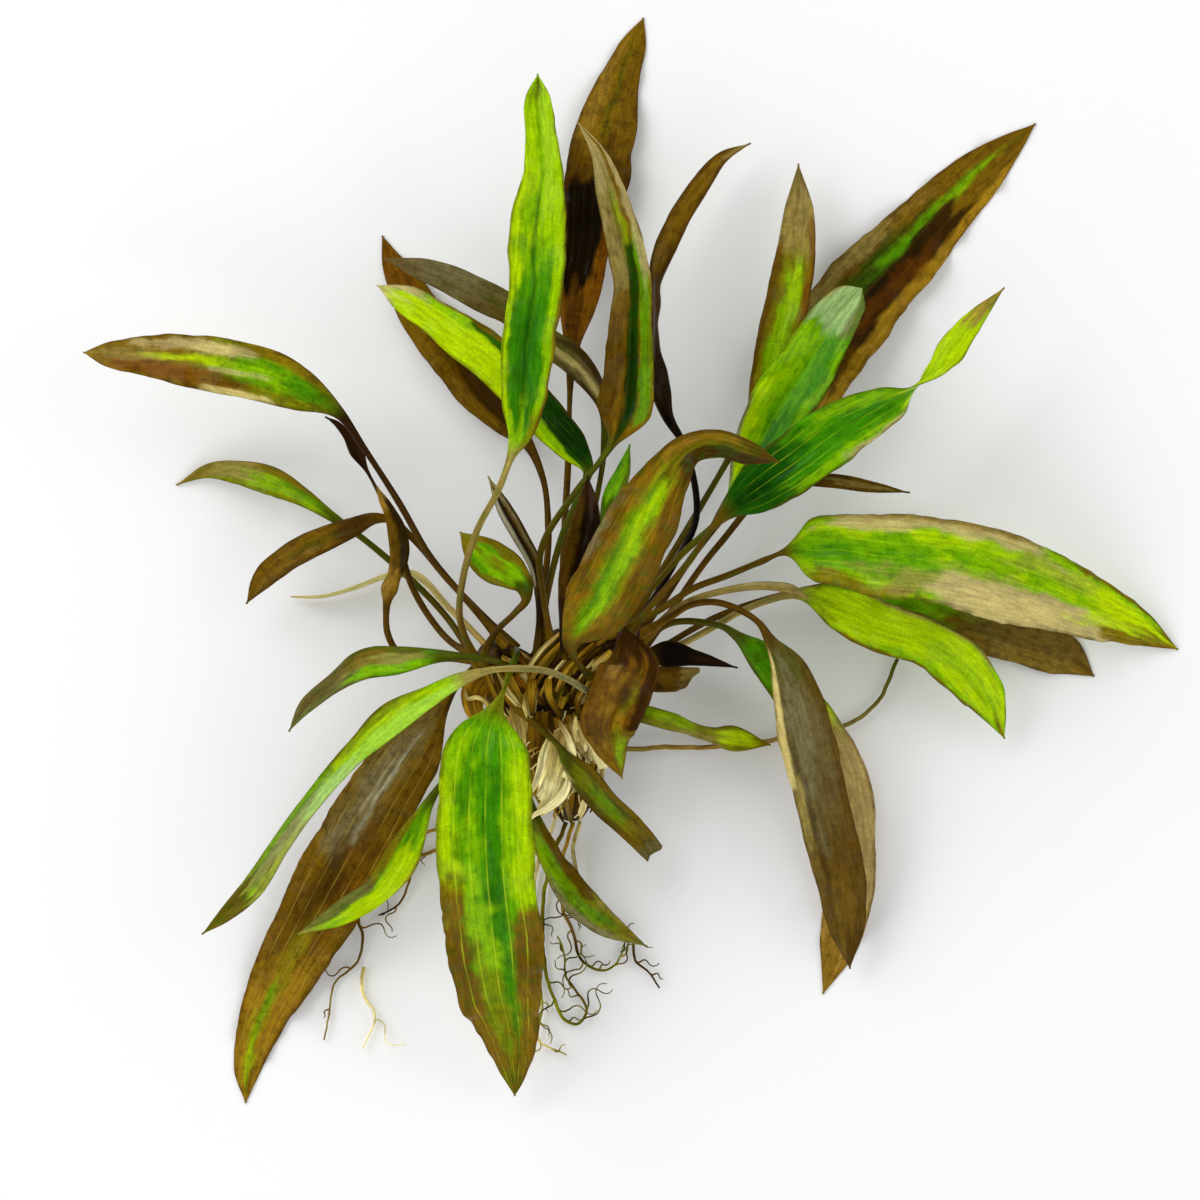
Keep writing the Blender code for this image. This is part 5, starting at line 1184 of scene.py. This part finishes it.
def rootlets(rows, count, colours, seed):
    """Thin side roots. Each starts on the root at an even share of its length, leaves it to one side or
    the other in turn, and bends round along an arc with a wave in it that stays near the table."""
    _, path, _ = smooth_rows(np.array(rows, float), 1.0)
    right, _ = cross_frame(path, np.zeros(len(path)))
    forward = np.gradient(path, axis=0)
    forward /= np.linalg.norm(forward, axis=1, keepdims=True)
    shares = np.linspace(0.0, 1.0, 9)
    skins = []
    for number in range(count):
        station = int((0.30 + 0.68 * (number + 0.5) ** 0.9 / count**0.9) * (len(path) - 1))
        (chance,) = chances(seed + number, (12.9898,))
        hand = (1 if number % 2 else -1) * (1 if chance > 0.25 else -1)
        length = between(ROOTLET_LENGTHS, chance**2)
        bend = hand * math.radians(-50 + 170 * ((chance * 7.3) % 1.0))
        sway = 0.9 * np.sin(2 * math.pi * (1.2 * shares + chance * 3.1))
        angle = hand * math.radians(30) + bend * (shares - 0.6 * shares**2) + sway
        heading = np.cos(angle)[:, None] * forward[station] + np.sin(angle)[:, None] * right[station]
        steps = heading[:-1] * (length / 8)
        curve = path[station] + np.vstack([[0.0, 0.0, 0.0], np.cumsum(steps, axis=0)])
        curve[:, 2] = np.maximum(curve[:, 2] + 1.4 * chance * shares, 0.4)
        widths = ROOTLET_DIAMETER * (1 - 0.5 * shares)
        skins.append(tube_skin(curve, widths, colours, step=0.6, count=5, wiggle=0.8, seed=seed + number))
    return skins


def stem_strips(rows, count, colourings, seed):
    """Strips of fibre laid on a length of stem, from its upper end down. Each keeps the stem's radius,
    starts and ends at shares of its length that chance picks, and turns a little about it on the way."""
    _, path, _ = smooth_rows(np.array(rows, float), 1.5)
    path = path[::-1]
    skins = []
    for number in range(count):
        start, reach, place, twist, _ = chances(seed + number)
        first = int(0.35 * start * len(path))
        part = path[first : max(first + 5, int((0.65 + 0.38 * reach) * len(path)))]
        turn = -100 + 200 * (number + place) / count + np.linspace(-18, 18, len(part)) * (2 * twist - 1)
        _, outwards = cross_frame(part, turn)
        centre = part[:, :3] + (part[:, 3:4] / 2 + 0.1 + 0.7 * twist) * outwards
        widths = between(STRIP_WIDTHS, reach) * np.sin(np.linspace(0.5, 3.0, len(part)))
        table = np.column_stack([centre, widths, turn])
        colours = colourings[number % len(colourings)]
        skins.append(sheath_skin(colours, curl=0.3, ragged=2.5, rows=table, seed=seed + 3.1 * number))
    return skins


def tapered(rows, diameter, tip):
    """Diameters along a tube, from its full one down to the share tip of it."""
    return diameter * np.linspace(1.0, tip, len(rows))


def fused_crown():
    """The rhizome and its shoots as one bark-covered body, their skins joined into one by remeshing."""
    skins = []
    for number, rows in enumerate(CROWN.values()):
        rows = np.array(rows, float)
        skins.append(tube_skin(rows[:, :3], rows[:, 3], ("umber",), count=40, seed=3.0 * number, rough=0.16))
    draft = bpy.data.objects.new("crown_draft", skin_mesh("crown_skins", skins))
    bpy.context.scene.collection.objects.link(draft)
    remesh = draft.modifiers.new("fused", "REMESH")
    remesh.mode = "VOXEL"
    remesh.voxel_size = CROWN_STEP * MM
    draft.modifiers.new("smoothed", "SMOOTH").iterations = 3
    fused = bpy.data.meshes.new_from_object(draft.evaluated_get(bpy.context.evaluated_depsgraph_get()))
    bpy.data.objects.remove(draft)
    fused.shade_smooth()
    return fused


# Leaf finishes: the vein colour, the blotches' colour and strength, and the roughness.
LEAF_MATERIALS = {
    "leaf_green": wet_leaf("wet_green_leaf", "#C6DE22", "#1F5A00", 0.42, 0.34),
    "leaf_olive": wet_leaf("wet_olive_leaf", "#A9A440", "#3E2E02", 0.42, 0.34),
    "leaf_brown": wet_leaf("wet_brown_leaf", "#A98C34", "#2C1600", 0.45, 0.32),
    "leaf_dark": wet_leaf("wet_dark_leaf", "#6E5418", "#0E0500", 0.45, 0.32),
}
# Fibre finishes: the stains' strength, how light the painted shade leaves the gaps between fibres, and the
# roughness.
SHEATH_MATERIAL = dry_fibre("papery_sheath_fibre", 0.3, 0.5, 0.5)
PALE_SHEATH_MATERIAL = dry_fibre("bleached_sheath_fibre", 0.2, 0.72, 0.55)
ROOT_MATERIAL = dry_fibre("fibrous_root_skin", 0.5, 0.6, 0.5)
BARK_MATERIAL = rhizome_bark("wet_rhizome_bark")

slots = {part["node"]: part["material_slot"] for part in frame["record"]["subparts"]}

for leaf_number, leaf_name in enumerate(LEAVES):
    leaf_slot = slots[leaf_name]
    leaf = leaf_skin(leaf_name, leaf_number)
    add_skins("fine_" + leaf_name, [leaf], leaf_name, LEAF_MATERIALS[leaf_slot])

add_piece("fine_crown", fused_crown(), "crown", BARK_MATERIAL)

for stub_number, (stub_name, stub_rows) in enumerate(STUBS.items()):
    stub_widths = tapered(stub_rows, FOOT_DIAMETER * 1.1, 0.5)
    look = {"step": 0.5, "count": 14, "seed": stub_number, "rough": 0.25}
    stub = tube_skin(stub_rows, stub_widths, STUB_COLOURS, **look)
    add_skins("fine_" + stub_name, [stub], stub_name, SHEATH_MATERIAL)

runner_widths = tapered(RUNNER, RUNNER_DIAMETER, 0.75)
look = {"step": 0.7, "count": 12, "wiggle": 0.5, "seed": 2.0, "rough": 0.12}
runner = tube_skin(RUNNER, runner_widths, RUNNER_COLOURS, **look)
add_skins("fine_runner", [runner], "runner", SHEATH_MATERIAL)

for root_number, (root_name, root_rows) in enumerate(ROOTS.items()):
    root_colours, rootlet_count = ROOT_FINISH[root_name]
    root_widths = tapered(root_rows, ROOT_DIAMETER, 0.4)
    look = {"step": 0.7, "count": 9, "wiggle": 0.7, "seed": 11.0 * root_number, "rough": 0.3}
    root = tube_skin(root_rows, root_widths, root_colours, **look)
    side_roots = rootlets(root_rows, rootlet_count, root_colours[1:], 31.0 * root_number + 5)
    add_skins("fine_" + root_name, [root, *side_roots], root_name, ROOT_MATERIAL)

for sheath_number, (sheath_name, (colours, curl, ragged, rows)) in enumerate(SHEATHS.items()):
    sheath = sheath_skin(colours, curl, ragged, rows, 5.0 * sheath_number)
    sheath_material = PALE_SHEATH_MATERIAL if "cream" in colours else SHEATH_MATERIAL
    add_skins(sheath_name, [sheath], None, sheath_material)

for strip_number, (stem_name, (strip_count, colourings)) in enumerate(STEM_STRIPS.items()):
    strips = stem_strips(CROWN[stem_name], strip_count, colourings, 90.0 + 17 * strip_number)
    add_skins("fibre_on_" + stem_name, strips, None, SHEATH_MATERIAL)

# No two feet lie alike: sines of a foot's number sway its rows and lift it.
feet = []
for foot_number in range(FEET_COUNT):
    foot_rows = np.array(FEET_ROWS) + FEET_STEP * foot_number
    foot_rows[:, :2] += FEET_SWAY * np.sin(foot_number * 2.1 + np.array([[0.0], [1.0], [2.4], [3.0]]))
    foot_rows[:, 2] += FEET_LIFT * np.sin(foot_number * 3.7)
    foot_colours = FEET_COLOURS[foot_number % len(FEET_COLOURS)]
    feet.append(sheath_skin(foot_colours, curl=0.9, ragged=0.8, rows=foot_rows, seed=40.0 + foot_number))
add_skins("petiole_feet", feet, None, SHEATH_MATERIAL)

fibres = []
for fibre_number in range(FIBRE_COUNT):
    *place, length, direction, bulk = chances(fibre_number + 1)
    x, y = map(between, FIBRE_BOX, place)
    z = TOP_HEIGHT - TOP_FALL * max(TOP_MIDDLE[1] - y, 0) - abs(x - TOP_MIDDLE[0]) * TOP_FALL
    reach = between(FIBRE_LENGTHS, length**2)
    lean = math.radians(between(FIBRE_HEADINGS, direction))
    shares = np.linspace(0.0, 1.0, 6)[:, None]
    heading = np.array([math.cos(lean), math.sin(lean), 0.0])
    sag = [0.0, 0.0, -FIBRE_SAG * reach] * shares**2
    fibre_rows = np.array([x, y, z]) + heading * reach * shares + sag
    fibre_widths = np.full(6, between(FIBRE_DIAMETERS, bulk))
    fibre_colours = FIBRE_COLOURS[fibre_number % len(FIBRE_COLOURS)]
    look = {"count": 5, "wiggle": 2.4, "seed": 60.0 + fibre_number}
    fibres.append(tube_skin(fibre_rows, fibre_widths, fibre_colours, **look))
add_skins("crown_fibres", fibres, None, PALE_SHEATH_MATERIAL)

# The camera looks straight down at the middle of the photograph's frame. The photograph spans 300 mm at
# the leaves' middle height, 30 mm above the table.
CAMERA_HEIGHT = 3.0
PHOTO_SPAN = 0.300
PHOTO_PLANE = 0.030
SENSOR = 36.0

camera_data = bpy.data.cameras.new("straight_down")
camera_data.sensor_width = SENSOR
camera_data.lens = SENSOR * (CAMERA_HEIGHT - PHOTO_PLANE) / PHOTO_SPAN
camera = bpy.data.objects.new("straight_down", camera_data)
camera.location = (-SPREAD_CENTRE[0] * MM, -SPREAD_CENTRE[1] * MM, CAMERA_HEIGHT)
bpy.context.scene.collection.objects.link(camera)
bpy.context.scene.camera = camera

# Soft square lights turned to the plant: each one's place in metres and its power.
LIGHT_SIZE = 1.4
LIGHTS = {
    "window": ((-1.0, 1.0, 1.1), 18.5),
    "right_panel": ((1.3, 0.3, 0.9), 8.5),
    "near_panel": ((0.3, -1.4, 0.9), 7.5),
    "left_panel": ((-1.3, -0.6, 0.9), 7.5),
}
for light_name, (light_place, power) in LIGHTS.items():
    light = bpy.data.lights.new(light_name, "AREA")
    light.size = LIGHT_SIZE
    light.energy = power
    lamp = bpy.data.objects.new(light_name, light)
    lamp.location = light_place
    lamp.rotation_euler = (-lamp.location).to_track_quat("-Z", "Y").to_euler()
    bpy.context.scene.collection.objects.link(lamp)

# Even white light from all round, as from the walls of a white room.
ROOM_LIGHT = 0.40
world = bpy.data.worlds.new("white_room")
world.use_nodes = True
walls = {"Color": (*linear("#FFFFFF"), 1.0), "Strength": ROOM_LIGHT}
fill(world.node_tree, world.node_tree.nodes["Background"], walls)
bpy.context.scene.world = world
bpy.context.scene.view_settings.view_transform = "Standard"

# The table top, a matt white card just under the plant. The eye sees clean white with soft grey shadows.
FLOOR_HALF = 4.0
FLOOR_DROP = -0.2 * MM
floor_signs = [(-1, -1), (1, -1), (1, 1), (-1, 1)]
floor_corners = [(x * FLOOR_HALF, y * FLOOR_HALF, FLOOR_DROP) for x, y in floor_signs]
floor_mesh = bpy.data.meshes.new("table_top")
floor_mesh.from_pydata(floor_corners, [], [(0, 1, 2, 3)])
floor = bpy.data.objects.new("table_top", floor_mesh)
bpy.context.scene.collection.objects.link(floor)
card_material, card_tree, card_shader = new_material("white_card")
fill(card_tree, card_shader, {"Base Color": (*linear("#F7F7F7"), 1.0), "Roughness": 0.7})
floor_mesh.materials.append(card_material)
